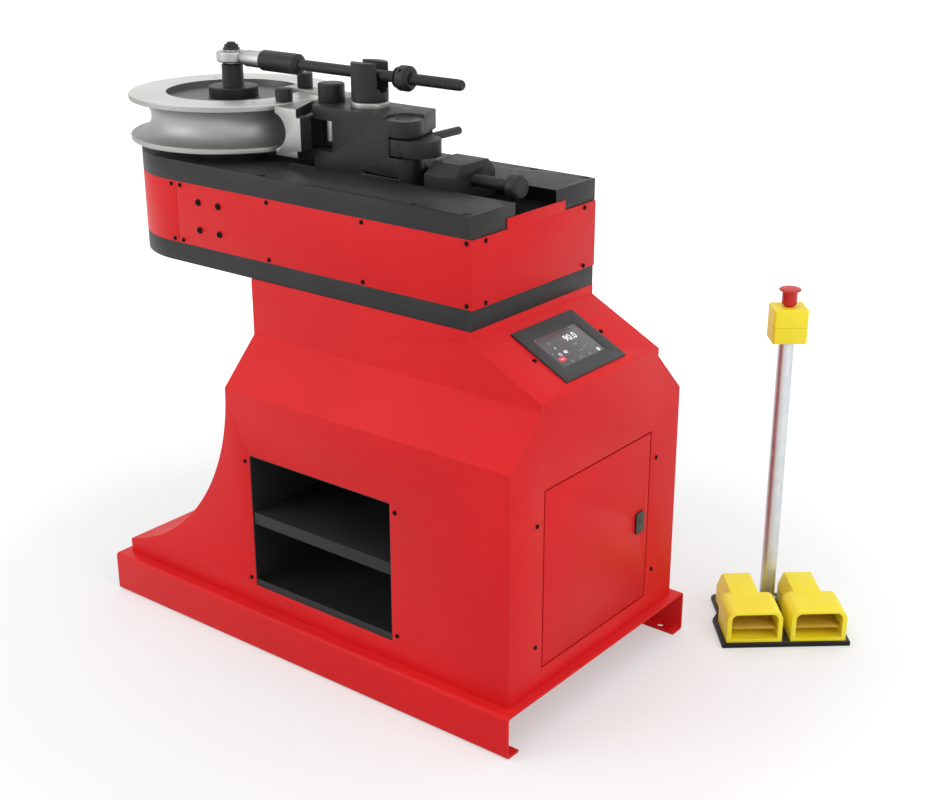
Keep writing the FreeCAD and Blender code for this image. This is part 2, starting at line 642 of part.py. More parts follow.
def offset_line(points, distance):
    """A line of (a, b) corners moved to its left by a distance, with mitred corners."""
    moved = []
    for i, point in enumerate(points):
        normals = []
        for j in (i - 1, i):
            if 0 <= j < len(points) - 1:
                da = points[j + 1][0] - points[j][0]
                db = points[j + 1][1] - points[j][1]
                length = math.hypot(da, db)
                normals.append((-db / length, da / length))
        na = sum(n[0] for n in normals) / len(normals)
        nb = sum(n[1] for n in normals) / len(normals)
        scale = distance / (na * na + nb * nb)
        moved.append((point[0] + na * scale, point[1] + nb * scale))
    return moved


def mirror_y(shape):
    return shape.mirror(V(0, 0, 0), Y_AXIS)


def base_frame():
    """One plate bent into a low table with inward lips and anchor holes."""
    half = BASE_WIDTH / 2
    x0 = -BASE_LENGTH / 2
    outer = box(x0, -x0, -half, half, 0, BASE_HEIGHT)
    outer = outer.makeFillet(BASE_BEND, [e for e in outer.Edges if spans(e.BoundBox.XLength, BASE_LENGTH)])
    inner = box(x0, -x0, -half + BASE_SHEET, half - BASE_SHEET, BASE_SHEET, BASE_HEIGHT - BASE_SHEET)
    inner = inner.makeFillet(BASE_BEND - BASE_SHEET / 2,
                             [e for e in inner.Edges if spans(e.BoundBox.XLength, BASE_LENGTH)])
    gap = box(x0, -x0, -half + BASE_LIP, half - BASE_LIP, -1, BASE_SHEET + 1)
    pan = outer.cut(inner).cut(gap)
    for sx in (-1, 1):
        for sy in (-1, 1):
            pan = pan.cut(upright(ANCHOR_HOLE_R, -1, BASE_SHEET + 1, sx * ANCHOR_SPACING_X / 2,
                                  sy * (half - ANCHOR_EDGE)))
    return pan


def section_line():
    """Outside of the far half of the cabinet in the YZ plane, from the base up."""
    return [(CABINET_HALF_WIDTH, BASE_HEIGHT), (CABINET_HALF_WIDTH, SHOULDER_Z),
            (NECK_HALF_WIDTH, NECK_FOOT_Z), (NECK_HALF_WIDTH, HEAD_Z)]


def arc_solid(radius):
    """The round space that the hollow sweep leaves, as a cylinder across the cabinet."""
    reach = CABINET_HALF_WIDTH + 1
    return along_y(radius, -reach, reach, NECK_LEFT_X - ARC_RADIUS, SHOULDER_Z)


def end_line():
    """Outside of the cabinet's right end in the XZ plane, from the base up."""
    return [(END_FACE_X, BASE_HEIGHT), (END_FACE_X, END_FACE_TOP_Z),
            (NECK_END_X, SLOPE_TOP_Z), (NECK_END_X, HEAD_Z)]


def hull_of(line):
    """The body between a half section and its mirror image, as long as the base."""
    x0 = -BASE_LENGTH / 2
    corners = [V(x0, y, z) for y, z in line] + [V(x0, -y, z) for y, z in reversed(line)]
    return prism(corners, V(BASE_LENGTH, 0, 0))


def side_outline():
    """The cabinet's whole body, before it is hollowed."""
    corners = end_line() + [(NECK_LEFT_X, HEAD_Z), (NECK_LEFT_X, SHOULDER_Z),
                            (FOOT_END_X, SHOULDER_Z), (FOOT_END_X, BASE_HEIGHT)]
    plate = prism([V(x, -CABINET_HALF_WIDTH, z) for x, z in corners], V(0, 2 * CABINET_HALF_WIDTH, 0))
    return plate.cut(arc_solid(ARC_RADIUS)).common(hull_of(section_line()))


def cabinet_side(sign):
    """One long side: wall, slope and neck wall of one bent sheet."""
    line = section_line()
    inner = offset_line(line, SHEET)
    ring = [V(-BASE_LENGTH / 2, sign * y, z) for y, z in line]
    ring += [V(-BASE_LENGTH / 2, sign * y, z) for y, z in reversed(inner)]
    sheet = prism(ring, V(BASE_LENGTH, 0, 0)).common(side_outline())
    if sign < 0:
        sheet = sheet.cut(box(SHELF_X0, SHELF_X1, -CABINET_HALF_WIDTH - 1, -CABINET_HALF_WIDTH + SHEET + 1,
                              SHELF_Z0, SHELF_Z1))
    return sheet


def between_sides(ribbon):
    """Trim a sheet to the space between the two long sides."""
    return ribbon.common(hull_of(offset_line(section_line(), SHEET)))


def cabinet_end_panel():
    """End face and control slope, with the openings for the door and the screen."""
    line = end_line()
    inner = offset_line(line, SHEET)
    ring = [V(x, -CABINET_HALF_WIDTH, z) for x, z in line + inner[::-1]]
    panel = between_sides(prism(ring, V(0, 2 * CABINET_HALF_WIDTH, 0)))
    opening = DOOR_HALF_WIDTH + DOOR_GAP
    panel = panel.cut(box(END_FACE_X - SHEET - 1, END_FACE_X + 1, -opening, opening,
                          DOOR_Z0 - DOOR_GAP, DOOR_Z1 + DOOR_GAP))
    brackets = []
    for z0, z1 in ((DOOR_Z0 - DOOR_GAP - HINGE_PIN_LENGTH, DOOR_Z0 - DOOR_GAP),
                   (DOOR_Z1 + DOOR_GAP, DOOR_Z1 + DOOR_GAP + HINGE_PIN_LENGTH)):
        half = HINGE_BRACKET / 2
        bracket = box(HINGE_X - half, END_FACE_X - SHEET, HINGE_Y - half, HINGE_Y + half, z0, z1)
        brackets.append(bracket.cut(upright(HINGE_PIN_R + RUNNING_FIT, z0 - 1, z1 + 1, HINGE_X, HINGE_Y)))
    keeper_y = DOOR_HALF_WIDTH + DOOR_GAP
    keeper_half = 2 * LOCK_CAM_HALF
    brackets.append(box(END_FACE_X - LOCK_CAM_BACK + LOCK_CAM_T + KEEPER_GAP, END_FACE_X - SHEET,
                        keeper_y, keeper_y + DOOR_FLANGE, LOCK_Z - keeper_half, LOCK_Z + keeper_half))
    half, s0, room = DISPLAY_WIDTH / 2, display_start(), DISPLAY_ROOM
    panel = panel.cut(slope_box(-half - room, half + room, s0 - room, s0 + DISPLAY_HEIGHT + room,
                                -SHEET - 1, 1))
    return fuse([panel] + brackets)


def slope_box(y0, y1, s0, s1, h0, h1):
    """A box on the control slope: across, down the slope from its top edge, and out of its face."""
    run = END_FACE_X - NECK_END_X
    drop = SLOPE_TOP_Z - END_FACE_TOP_Z
    angle = math.degrees(math.atan2(drop, run))
    solid = Part.makeBox(s1 - s0, y1 - y0, h1 - h0, V(s0, y0, h0))
    solid.rotate(V(0, 0, 0), Y_AXIS, angle)
    solid.translate(V(NECK_END_X, 0, SLOPE_TOP_Z))
    return solid


def display_start():
    """Start of the display, down the slope, with the display central in its frame."""
    return BEZEL_START + (BEZEL_HEIGHT - DISPLAY_HEIGHT) / 2


def cabinet_curved_panel():
    """The sheet that closes the hollow sweep, from the foot up to the head."""
    ring = arc_solid(ARC_RADIUS + SHEET).cut(arc_solid(ARC_RADIUS))
    half = CABINET_HALF_WIDTH
    reach = box(FOOT_END_X, NECK_LEFT_X + SHEET, -half, half, BASE_HEIGHT, SHOULDER_Z)
    toe = box(FOOT_END_X, FOOT_END_X + SHEET, -half, half, BASE_HEIGHT, BASE_HEIGHT + TOE_HEIGHT)
    wall = box(NECK_LEFT_X, NECK_LEFT_X + SHEET, -half, half, SHOULDER_Z, HEAD_Z)
    sheet = fuse([ring.common(reach), toe, wall])
    return between_sides(sheet)


def shelf_box():
    """The open black box behind the opening, with its flange behind the side sheet."""
    back = -CABINET_HALF_WIDTH + SHELF_DEPTH
    front = -CABINET_HALF_WIDTH + SHELF_INSET
    s = SHELF_SHEET
    x0, x1, z0, z1 = SHELF_X0 + SEAT_GAP, SHELF_X1 - SEAT_GAP, SHELF_Z0 + SEAT_GAP, SHELF_Z1 - SEAT_GAP
    shell = box(x0, x1, front, back, z0, z1).cut(box(x0 + s, x1 - s, front - 1, back - s, z0 + s, z1 - s))
    lip = box(x0, x1, front, front + s, z0, z0 + SHELF_LIP)
    flange_y = -CABINET_HALF_WIDTH + SHEET
    f = SHELF_FLANGE
    flange = box(x0 - f, x1 + f, flange_y, flange_y + s, z0 - f, z1 + f).cut(
        box(x0 + s, x1 - s, flange_y - 1, flange_y + s + 1, z0 + s, z1 - s))
    return fuse([shell, lip, flange])


def middle_shelf():
    """The loose shelf in the middle of the box, with its turned-down front."""
    s = SHELF_SHEET
    x0, x1 = SHELF_X0 + SEAT_GAP + s, SHELF_X1 - SEAT_GAP - s
    front = -CABINET_HALF_WIDTH + MID_SHELF_INSET
    back = -CABINET_HALF_WIDTH + SHELF_DEPTH - s
    top = box(x0, x1, front, back, MID_SHELF_Z - s, MID_SHELF_Z)
    lip = box(x0, x1, front, front + s, MID_SHELF_Z - MID_SHELF_LIP, MID_SHELF_Z)
    rear = box(x0, x1, back - s, back, MID_SHELF_Z - MID_SHELF_LIP / 2, MID_SHELF_Z)
    return fuse([top, lip, rear])


def component_plate():
    """The galvanised plate that carries the electrical parts, on a foot."""
    x0, x1 = COMPONENT_PLATE_X, COMPONENT_PLATE_X + COMPONENT_PLATE_T
    half = COMPONENT_PLATE_HALF
    plate = box(x0, x1, -half, half, BASE_HEIGHT, COMPONENT_PLATE_TOP)
    foot = box(x1 - COMPONENT_FOOT, x1, -half, half, BASE_HEIGHT, BASE_HEIGHT + COMPONENT_PLATE_T)
    return fuse([plate, foot])


def drive_inverter():
    """The motor's inverter, with its raised front panel."""
    x0 = COMPONENT_PLATE_X + COMPONENT_PLATE_T
    x1 = x0 + INVERTER_DEPTH
    y0 = INVERTER_MARGIN - COMPONENT_PLATE_HALF
    y1 = y0 + INVERTER_WIDTH
    z1 = COMPONENT_PLATE_TOP - INVERTER_DROP
    z0 = z1 - INVERTER_HEIGHT
    body = box(x0, x1, y0, y1, z0, z1)
    rim = edges_where(body, lambda p: abs(p.x - x1) < 1e-6)
    body = body.makeChamfer(INVERTER_CORNER, rim)
    edge = 4 * INVERTER_CORNER
    panel = box(x1, x1 + INVERTER_PANEL, y0 + edge, y1 - edge, z1 - INVERTER_HEIGHT * 0.45, z1 - edge)
    return fuse([body, panel])


def contactors():
    """A rail with a row of contactors, each its own solid."""
    x0 = COMPONENT_PLATE_X + COMPONENT_PLATE_T
    rail_x, front_x = x0 + RAIL_DEPTH, x0 + RAIL_DEPTH + CONTACTOR_DEPTH
    z0 = BASE_HEIGHT + CONTACTOR_RISE
    middle_z = z0 + CONTACTOR_HEIGHT / 2
    y0 = CONTACTOR_WIDTH - COMPONENT_PLATE_HALF
    pitch = CONTACTOR_WIDTH + CONTACTOR_GAP
    y1 = y0 + pitch * CONTACTOR_COUNT
    half, spare = RAIL_HEIGHT / 2, RAIL_SPARE
    web = box(x0, rail_x, y0 - spare, y1 + spare, middle_z - half + RAIL_LIP, middle_z + half - RAIL_LIP)
    lips = box(rail_x - RAIL_LIP_T, rail_x, y0 - spare, y1 + spare, middle_z - half, middle_z + half)
    solids = [fuse([web, lips])]
    inset = CONTACTOR_NOSE
    for i in range(CONTACTOR_COUNT):
        a, b = y0 + i * pitch, y0 + i * pitch + CONTACTOR_WIDTH
        body = box(rail_x, front_x, a, b, z0, z0 + CONTACTOR_HEIGHT)
        nose = box(front_x, front_x + CONTACTOR_NOSE, a + inset, b - inset,
                   z0 + CONTACTOR_MARGIN, z0 + CONTACTOR_HEIGHT - CONTACTOR_MARGIN)
        solids.append(fuse([body, nose]))
    return Part.makeCompound(solids)


def screen_bezel():
    """The dark frame of the control screen."""
    half = BEZEL_WIDTH / 2
    frame = slope_box(-half, half, BEZEL_START, BEZEL_START + BEZEL_HEIGHT, 0, BEZEL_THICK)
    s0 = display_start()
    window = slope_box(-DISPLAY_WIDTH / 2, DISPLAY_WIDTH / 2, s0, s0 + DISPLAY_HEIGHT, -1, BEZEL_THICK + 1)
    return frame.cut(window)


def touch_screen():
    """The display unit, from its glass to its back inside the cabinet."""
    s0 = display_start()
    return slope_box(-DISPLAY_WIDTH / 2, DISPLAY_WIDTH / 2, s0, s0 + DISPLAY_HEIGHT,
                     -DISPLAY_DEPTH, BEZEL_THICK - DISPLAY_SINK)


def head_outline(z0, z1, inset=0.0):
    """The head's plan, a long plate with a round nose, between two heights."""
    r = HEAD_HALF_WIDTH - inset
    block = box(NOSE_X, HEAD_END_X - inset, -r, r, z0, z1)
    return fuse([block, upright(r, z0, z1, NOSE_X)])


def head_bottom_plate():
    plate = head_outline(HEAD_Z, BOTTOM_PLATE_TOP)
    plate = plate.cut(upright(BEARING_R, HEAD_Z - 1, BOTTOM_PLATE_TOP + 1, SPINDLE_X))
    return plate.cut(upright(PINION_SHAFT_R + PINION_SHAFT_ROOM, HEAD_Z - 1, BOTTOM_PLATE_TOP + 1, PINION_X))


def head_top_plate():
    """The thick top plate, with the carriage's channel and the spindle's bore."""
    plate = head_outline(TOP_PLATE_Z, DECK_Z)
    plate = plate.cut(upright(BEARING_R, TOP_PLATE_Z - 1, DECK_Z + 1, SPINDLE_X))
    plate = plate.cut(box(CHANNEL_LEFT_X, HEAD_END_X + 1, -CHANNEL_HALF_WIDTH, CHANNEL_HALF_WIDTH,
                          CHANNEL_FLOOR_Z, DECK_Z + 1))
    for x in TOP_SCREW_X:
        for sign in (-1, 1):
            plate = plate.cut(upright(TOP_SCREW_R + SCREW_ROOM, DECK_Z - TOP_SCREW_SINK, DECK_Z + 1,
                                      x, sign * TOP_SCREW_Y))
    return plate


def cover_ring():
    """The whole belt of thin covers between the plates, before it is split."""
    outer = head_outline(BOTTOM_PLATE_TOP, TOP_PLATE_Z)
    inner = head_outline(BOTTOM_PLATE_TOP - 1, TOP_PLATE_Z + 1, COVER_SHEET)
    inner = fuse([inner, box(HEAD_END_X - 2 * COVER_SHEET, HEAD_END_X + 1, -HEAD_HALF_WIDTH + COVER_SHEET,
                             HEAD_HALF_WIDTH - COVER_SHEET, BOTTOM_PLATE_TOP - 1, TOP_PLATE_Z + 1)])
    return outer.cut(inner)


def nose_cover():
    reach = HEAD_HALF_WIDTH + 1
    return cover_ring().common(box(NOSE_X - reach, COVER_SEAM_X - SEAM_GAP / 2, -reach, reach,
                                   BOTTOM_PLATE_TOP, TOP_PLATE_Z))


def side_cover(sign):
    y0, y1 = sorted((sign * (HEAD_HALF_WIDTH - COVER_SHEET - 1), sign * (HEAD_HALF_WIDTH + 1)))
    return cover_ring().common(box(COVER_SEAM_X + SEAM_GAP / 2, HEAD_END_X, y0, y1,
                                   BOTTOM_PLATE_TOP, TOP_PLATE_Z))


def head_end_cover():
    """The end cover with the tab that closes the channel's floor."""
    x0, x1 = HEAD_END_X, HEAD_END_X + COVER_SHEET
    wall = box(x0, x1, -HEAD_HALF_WIDTH, HEAD_HALF_WIDTH, BOTTOM_PLATE_TOP, TOP_PLATE_Z)
    tab = box(x0, x1, -TAB_HALF_WIDTH, TAB_HALF_WIDTH, TOP_PLATE_Z, CHANNEL_FLOOR_Z + TAB_RISE)
    return fuse([wall, tab])


def head_spacers():
    """Steel blocks that carry the top plate and take the cover screws."""
    y1 = HEAD_HALF_WIDTH - COVER_SHEET
    m = SPACER_MARGIN
    half = LARGE_SCREW_PITCH / 2
    places = [(LARGE_SCREW_X - half, LARGE_SCREW_X + half)]
    places += [(x, x) for x in [COVER_SEAM_X, TOP_SCREW_X[1]] + cover_screw_places()[2:]]
    solids = []
    for low, high in places:
        block = box(low - m, min(high + m, HEAD_END_X), y1 - SPACER_DEPTH, y1, BOTTOM_PLATE_TOP, TOP_PLATE_Z)
        solids += [block, mirror_y(block)]
    return Part.makeCompound(solids)


def button_head(radius, proud, socket):
    """A low round screw head on z = 0 with a hexagon socket."""
    head = turned([(0.0, 0.0), (radius, 0.0), (radius, proud * 0.35), (radius * 0.6, proud), (0.0, proud)])
    return head.cut(hexagon(socket, proud * 0.3, proud + 1))


def on_side(shape, x, z, sign, y):
    """Stand a shape made on z = 0 on an upright wall that faces along Y."""
    placed = shape.copy()
    placed.rotate(V(0, 0, 0), X_AXIS, -90.0 * sign)
    placed.translate(V(x, sign * y, z))
    return placed


def on_end(shape, y, z, x):
    """Stand a shape made on z = 0 on an upright wall that faces along +X."""
    placed = shape.copy()
    placed.rotate(V(0, 0, 0), Y_AXIS, 90)
    placed.translate(V(x, y, z))
    return placed


def cover_screw_places():
    """Small cover screws along a long side: one on the nose cover, the rest evenly on the side cover."""
    row = [COVER_SCREW_X0 + i * COVER_SCREW_PITCH for i in range(COVER_SCREW_SPANS + 1)]
    return [COVER_SEAM_X - COVER_SCREW_SEAM] + row


def nose_surface(x):
    """Half width of the head at a place along its length."""
    if x > NOSE_X:
        return HEAD_HALF_WIDTH
    return math.sqrt(HEAD_HALF_WIDTH ** 2 - (x - NOSE_X) ** 2)


def cover_screws():
    small = button_head(COVER_SCREW_R, COVER_SCREW_PROUD, COVER_SCREW_R * 0.5)
    large = button_head(LARGE_SCREW_R, LARGE_SCREW_PROUD, LARGE_SCREW_R * 0.5)
    z_low = BOTTOM_PLATE_TOP + COVER_SCREW_EDGE
    z_high = TOP_PLATE_Z - COVER_SCREW_EDGE
    half = LARGE_SCREW_PITCH / 2
    solids = []
    for sign in (-1, 1):
        for z in (z_low, z_high):
            solids += [on_side(small, x, z, sign, nose_surface(x)) for x in cover_screw_places()]
            solids.append(on_end(small, sign * END_SCREW_Y, z, HEAD_END_X + COVER_SHEET))
        for dx in (-half, half):
            solids += [on_side(large, LARGE_SCREW_X + dx, LARGE_SCREW_Z + dz, sign, HEAD_HALF_WIDTH)
                       for dz in (-half, half)]
    return Part.makeCompound(solids)


def top_plate_screws():
    """Socket screws sunk in the top plate."""
    solids = []
    for x in TOP_SCREW_X:
        for sign in (-1, 1):
            z0 = DECK_Z - TOP_SCREW_SINK
            y = sign * TOP_SCREW_Y
            head = upright(TOP_SCREW_R, z0, DECK_Z - 1, x, y)
            solids.append(head.cut(hexagon(TOP_SCREW_R * 0.6, z0 + TOP_SCREW_SINK / 3, DECK_Z, x, y)))
    return Part.makeCompound(solids)


def cabinet_screws():
    """Button heads round the door, the shelf opening and the screen."""
    head = button_head(CABINET_SCREW_R, COVER_SCREW_PROUD, CABINET_SCREW_R * 0.5)
    out = CABINET_SCREW_OUT
    solids = []
    for x in (SHELF_X0 - out, SHELF_X1 + out):
        for z in (SHELF_Z0 + SHELF_LIP, SHELF_Z1 - SHELF_LIP):
            solids.append(on_side(head, x, z, -1, CABINET_HALF_WIDTH))
    for z in DOOR_SCREW_Z:
        for sign in (-1, 1):
            solids.append(on_end(head, sign * DOOR_SCREW_Y, z, END_FACE_X))
    angle = math.degrees(math.atan2(SLOPE_TOP_Z - END_FACE_TOP_Z, END_FACE_X - NECK_END_X))
    for sign in (-1, 1):
        screw = head.copy()
        screw.translate(V(BEZEL_START + BEZEL_HEIGHT / 2, sign * SCREEN_SCREW_Y, 0))
        screw.rotate(V(0, 0, 0), Y_AXIS, angle)
        screw.translate(V(NECK_END_X, 0, SLOPE_TOP_Z))
        solids.append(screw)
    return Part.makeCompound(solids)


def spindle_bearings():
    """The two bearings that carry the spindle in the plates."""
    solids = []
    for z0 in (HEAD_Z, DECK_Z - BEARING_HEIGHT - BEARING_SINK):
        ring = upright(BEARING_R, z0, z0 + BEARING_HEIGHT, SPINDLE_X)
        solids.append(ring.cut(upright(SPINDLE_R + RUNNING_FIT, z0 - 1, z0 + BEARING_HEIGHT + 1, SPINDLE_X)))
    return Part.makeCompound(solids)


def bearing_cap():
    """The round cap under the nose that holds the lower bearing."""
    z0, z1 = HEAD_Z - CAP_HEIGHT, HEAD_Z
    room = upright(SPINDLE_R + CAP_ROOM, z0 + CAP_FLOOR, z1 + 1, SPINDLE_X)
    return round_block(CAP_R, z0, z1, CAP_BEVEL, 0, SPINDLE_X).cut(room)


def spindle_shaft():
    """The spindle with the flange that the die stands on."""
    z0 = HEAD_Z - CAP_HEIGHT + SPINDLE_FOOT
    body = fuse([upright(SPINDLE_R, z0, DIE_BOTTOM_Z, SPINDLE_X),
                 upright(DRIVE_FLANGE_R, DECK_Z + FLANGE_LIFT, DIE_BOTTOM_Z, SPINDLE_X),
                 upright(DIE_SEAT_R, DIE_BOTTOM_Z, POCKET_FLOOR_Z, SPINDLE_X)])
    pins = [upright(DRIVE_PIN_R, DIE_BOTTOM_Z - 1, DIE_BOTTOM_Z + DRIVE_PIN_REACH, SPINDLE_X + s)
            for s in (-DRIVE_PIN_PCR, DRIVE_PIN_PCR)]
    return fuse([body] + pins)


def gear(teeth, centre_x, bore, first_tooth):
    """A spur gear with straight-sided teeth and room for play."""
    pitch_r = MODULE * teeth / 2
    tip_r, root_r = pitch_r + 0.9 * MODULE, pitch_r - 1.2 * MODULE
    step = 360.0 / teeth
    half = step * TOOTH_THICKNESS / 2
    points = []
    wide, narrow = 1.45 * half, 0.62 * half
    for i in range(teeth):
        mid = first_tooth + i * step
        for radius, offset in ((root_r, -wide), (tip_r, -narrow), (tip_r, narrow), (root_r, wide)):
            a = math.radians(mid + offset)
            points.append(V(centre_x + radius * math.cos(a), radius * math.sin(a), GEAR_Z0))
    blank = prism(points, V(0, 0, GEAR_WIDTH))
    return blank.cut(upright(bore, GEAR_Z0 - 1, GEAR_Z0 + GEAR_WIDTH + 1, centre_x))


def spindle_gear():
    """The large gear on the spindle, lightened by six holes."""
    wheel = gear(SPINDLE_TEETH, SPINDLE_X, SPINDLE_R, 0.0)
    web_r = (SPINDLE_R + MODULE * SPINDLE_TEETH / 2) / 2
    for i in range(6):
        a = math.radians(30 + 60 * i)
        wheel = wheel.cut(upright(GEAR_WINDOW_R, GEAR_Z0 - 1, GEAR_Z0 + GEAR_WIDTH + 1,
                                  SPINDLE_X + web_r * math.cos(a), web_r * math.sin(a)))
    return wheel


def idler_gear():
    return gear(IDLER_TEETH, IDLER_X, IDLER_AXLE_R + RUNNING_FIT, 180.0 + 180.0 / IDLER_TEETH)


def idler_axle():
    """The axle of the middle gear, with a collar under the gear."""
    pin = upright(IDLER_AXLE_R, BOTTOM_PLATE_TOP, TOP_PLATE_Z, IDLER_X)
    collar = upright(IDLER_AXLE_R + IDLER_COLLAR, BOTTOM_PLATE_TOP, GEAR_Z0 - SEAT_GAP, IDLER_X)
    return fuse([pin, collar])


def drive_pinion():
    """The pinion and its shaft, which runs down into the gear unit."""
    facing = 180.0 / IDLER_TEETH + 180.0
    contact_phase = (facing % (360.0 / IDLER_TEETH)) / (360.0 / IDLER_TEETH)
    first = 180.0 + (0.5 + contact_phase) * 360.0 / PINION_TEETH
    z1 = GEAR_Z0 + GEAR_WIDTH
    wheel = gear(PINION_TEETH, PINION_X, PINION_SHAFT_R, first)
    shaft = upright(PINION_SHAFT_R, HEAD_Z - PINION_SHAFT_SINK, z1 + PINION_SHAFT_PROUD, PINION_X)
    return fuse([wheel, shaft])


def gear_reducer():
    """The gear unit's housing, bolted under the head."""
    x1 = PINION_X + REDUCER_RIGHT
    x0 = x1 - REDUCER_LENGTH
    half, z0 = REDUCER_WIDTH / 2, HEAD_Z - REDUCER_HEIGHT
    body = box(x0, x1, -half, half, z0, HEAD_Z)
    body = body.makeChamfer(REDUCER_CHAMFER, edges_where(body, lambda p: abs(p.z - z0) < 1e-6))
    parts = [body]
    for share in (0.2, 0.5, 0.8):
        x = x0 + REDUCER_LENGTH * share
        parts.append(box(x - REDUCER_RIB_T / 2, x + REDUCER_RIB_T / 2,
                         -half - REDUCER_RIB, half + REDUCER_RIB, z0 + REDUCER_RIB_FOOT, HEAD_Z))
    return fuse(parts).cut(upright(PINION_SHAFT_R + RUNNING_FIT, HEAD_Z - PINION_SHAFT_SINK - 1, HEAD_Z + 1,
                                   PINION_X))


def drive_motor():
    """The motor: flange, finned body, fan cover and terminal box."""
    x0 = PINION_X + REDUCER_RIGHT
    x1 = x0 + MOTOR_LENGTH
    z = HEAD_Z - MOTOR_DROP
    core = MOTOR_R - MOTOR_FIN
    parts = [along_x(core, x0, x1, 0, z), along_x(MOTOR_R + MOTOR_FLANGE, x0, x0 + MOTOR_FLANGE_T, 0, z),
             along_x(MOTOR_R, x1, x1 + FAN_COVER_LENGTH, 0, z)]
    half = MOTOR_FIN_T / 2
    for i in range(MOTOR_FIN_COUNT):
        fin = box(x0 + MOTOR_FIN_START, x1, -half, half, core - half, MOTOR_R - 1)
        fin.rotate(V(0, 0, 0), X_AXIS, 360.0 * i / MOTOR_FIN_COUNT)
        fin.translate(V(0, 0, z))
        parts.append(fin)
    a = x0 + TERMINAL_START
    half = TERMINAL_WIDTH / 2
    parts.append(box(a, a + TERMINAL_LENGTH, -half, half, z + core - MOTOR_FIN, z + MOTOR_R + TERMINAL_RISE))
    return fuse(parts)


def bending_die():
    """The grooved die: straight lips outside the tube's half circle, a pocket on top."""
    z0, z1 = DIE_BOTTOM_Z, DIE_TOP_Z
    disc = round_block(DIE_R, z0, z1, BEVEL, BEVEL, SPINDLE_X)
    groove = Part.makeTorus(BEND_RADIUS, GROOVE_R, V(SPINDLE_X, 0, TUBE_Z), Z_AXIS)
    lips = turned([(BEND_RADIUS, TUBE_Z - GROOVE_R), (DIE_R + 1, TUBE_Z - GROOVE_R),
                   (DIE_R + 1, TUBE_Z + GROOVE_R), (BEND_RADIUS, TUBE_Z + GROOVE_R)], SPINDLE_X)
    die = disc.cut(groove).cut(lips)
    die = die.cut(upright(POCKET_R, POCKET_FLOOR_Z, z1 + 1, SPINDLE_X))
    die = die.cut(upright(DIE_SEAT_R, z0 - 1, z1, SPINDLE_X))
    a = math.radians(DIE_TAPPED_ANGLE)
    for s in (-1, 1):
        die = die.cut(upright(DRIVE_PIN_R, z0 - 1, z0 + DRIVE_PIN_REACH, SPINDLE_X + DRIVE_PIN_PCR * s))
        x, y = SPINDLE_X + s * DIE_TAPPED_PCR * math.cos(a), s * DIE_TAPPED_PCR * math.sin(a)
        die = die.cut(upright(DIE_TAPPED_R, z1 - BOLT_DEPTH, z1 + 1, x, y))
    return die.cut(upright(HOOK_PIVOT_R, z1 - BOLT_DEPTH, z1 + 1, HOOK_PIVOT_X, HOOK_PIVOT_Y))


def tie_post():
    """The hub disc over the die, the post, and the stud that carries the tie rod."""
    hub_top = POCKET_FLOOR_Z + HUB_HEIGHT
    stud_top = ROD_Z + EYE_HEIGHT / 2 + STUD_PROUD
    return fuse([round_block(HUB_R, POCKET_FLOOR_Z, hub_top, 0, BEVEL, SPINDLE_X),
                 round_block(POST_R, hub_top, POST_TOP_Z, 0, WIDE_BEVEL, SPINDLE_X),
                 round_block(STUD_R, POST_TOP_Z, stud_top, 0, WIDE_BEVEL, SPINDLE_X)])


def spherical_bush():
    """The ball that the rod end tilts on, with its necks above and below."""
    ball = Part.makeSphere(BALL_R, V(SPINDLE_X, 0, ROD_Z))
    half = BALL_HEIGHT / 2
    band = box(SPINDLE_X - BALL_R, SPINDLE_X + BALL_R, -BALL_R, BALL_R, ROD_Z - half, ROD_Z + half)
    neck = upright(STUD_R + BUSH_WALL, POST_TOP_Z, ROD_Z + EYE_HEIGHT / 2 + BUSH_NECK, SPINDLE_X)
    return fuse([ball.common(band), neck]).cut(upright(STUD_R, POST_TOP_Z - 1, ROD_Z + EYE_R, SPINDLE_X))


def post_nut():
    """The flanged nut on the stud."""
    z0 = ROD_Z + EYE_HEIGHT / 2 + BUSH_NECK
    flange = round_block(POST_NUT_R, z0, z0 + POST_NUT_FLANGE, 0, WIDE_BEVEL, SPINDLE_X)
    top = z0 + POST_NUT_HEIGHT
    nut = fuse([flange, hexagon(POST_NUT_R - WIDE_BEVEL, z0 + POST_NUT_FLANGE, top, SPINDLE_X)])
    return nut.cut(upright(STUD_R, z0 - 1, top + 1, SPINDLE_X))


def rod_end():
    """The eye of the tie rod, with its shank."""
    z0, z1 = ROD_Z - EYE_HEIGHT / 2, ROD_Z + EYE_HEIGHT / 2
    ring = round_block(EYE_R, z0, z1, WIDE_BEVEL, WIDE_BEVEL, SPINDLE_X)
    root = SPINDLE_X + EYE_R - SHANK_ROOT_R
    shank = turned_on_x([(root, 0), (root, SHANK_ROOT_R), (SPINDLE_X + EYE_R + SHANK_R, SHANK_R),
                         (SLEEVE_X0, SHANK_R), (SLEEVE_X0, 0)], 0, ROD_Z)
    eye = fuse([ring, shank])
    return eye.cut(Part.makeSphere(BALL_R + SEAT_GAP, V(SPINDLE_X, 0, ROD_Z))).cut(
        upright(BALL_R - EYE_MOUTH, z0 - 1, z1 + 1, SPINDLE_X))


def tie_rod():
    """The sleeve and the threaded bar of the tie rod."""
    a, b = SLEEVE_NECK, SLEEVE_NOSE
    sleeve = [(SLEEVE_X0, 0), (SLEEVE_X0, SLEEVE_R - a), (SLEEVE_X0 + a, SLEEVE_R),
              (SLEEVE_X1 - b, SLEEVE_R), (SLEEVE_X1, SLEEVE_R - b), (SLEEVE_X1, ROD_R)]
    rod = [(ROD_END_X - ROD_TIP, ROD_R), (ROD_END_X, ROD_R - ROD_TIP), (ROD_END_X, 0)]
    return turned_on_x(sleeve + rod, 0, ROD_Z)


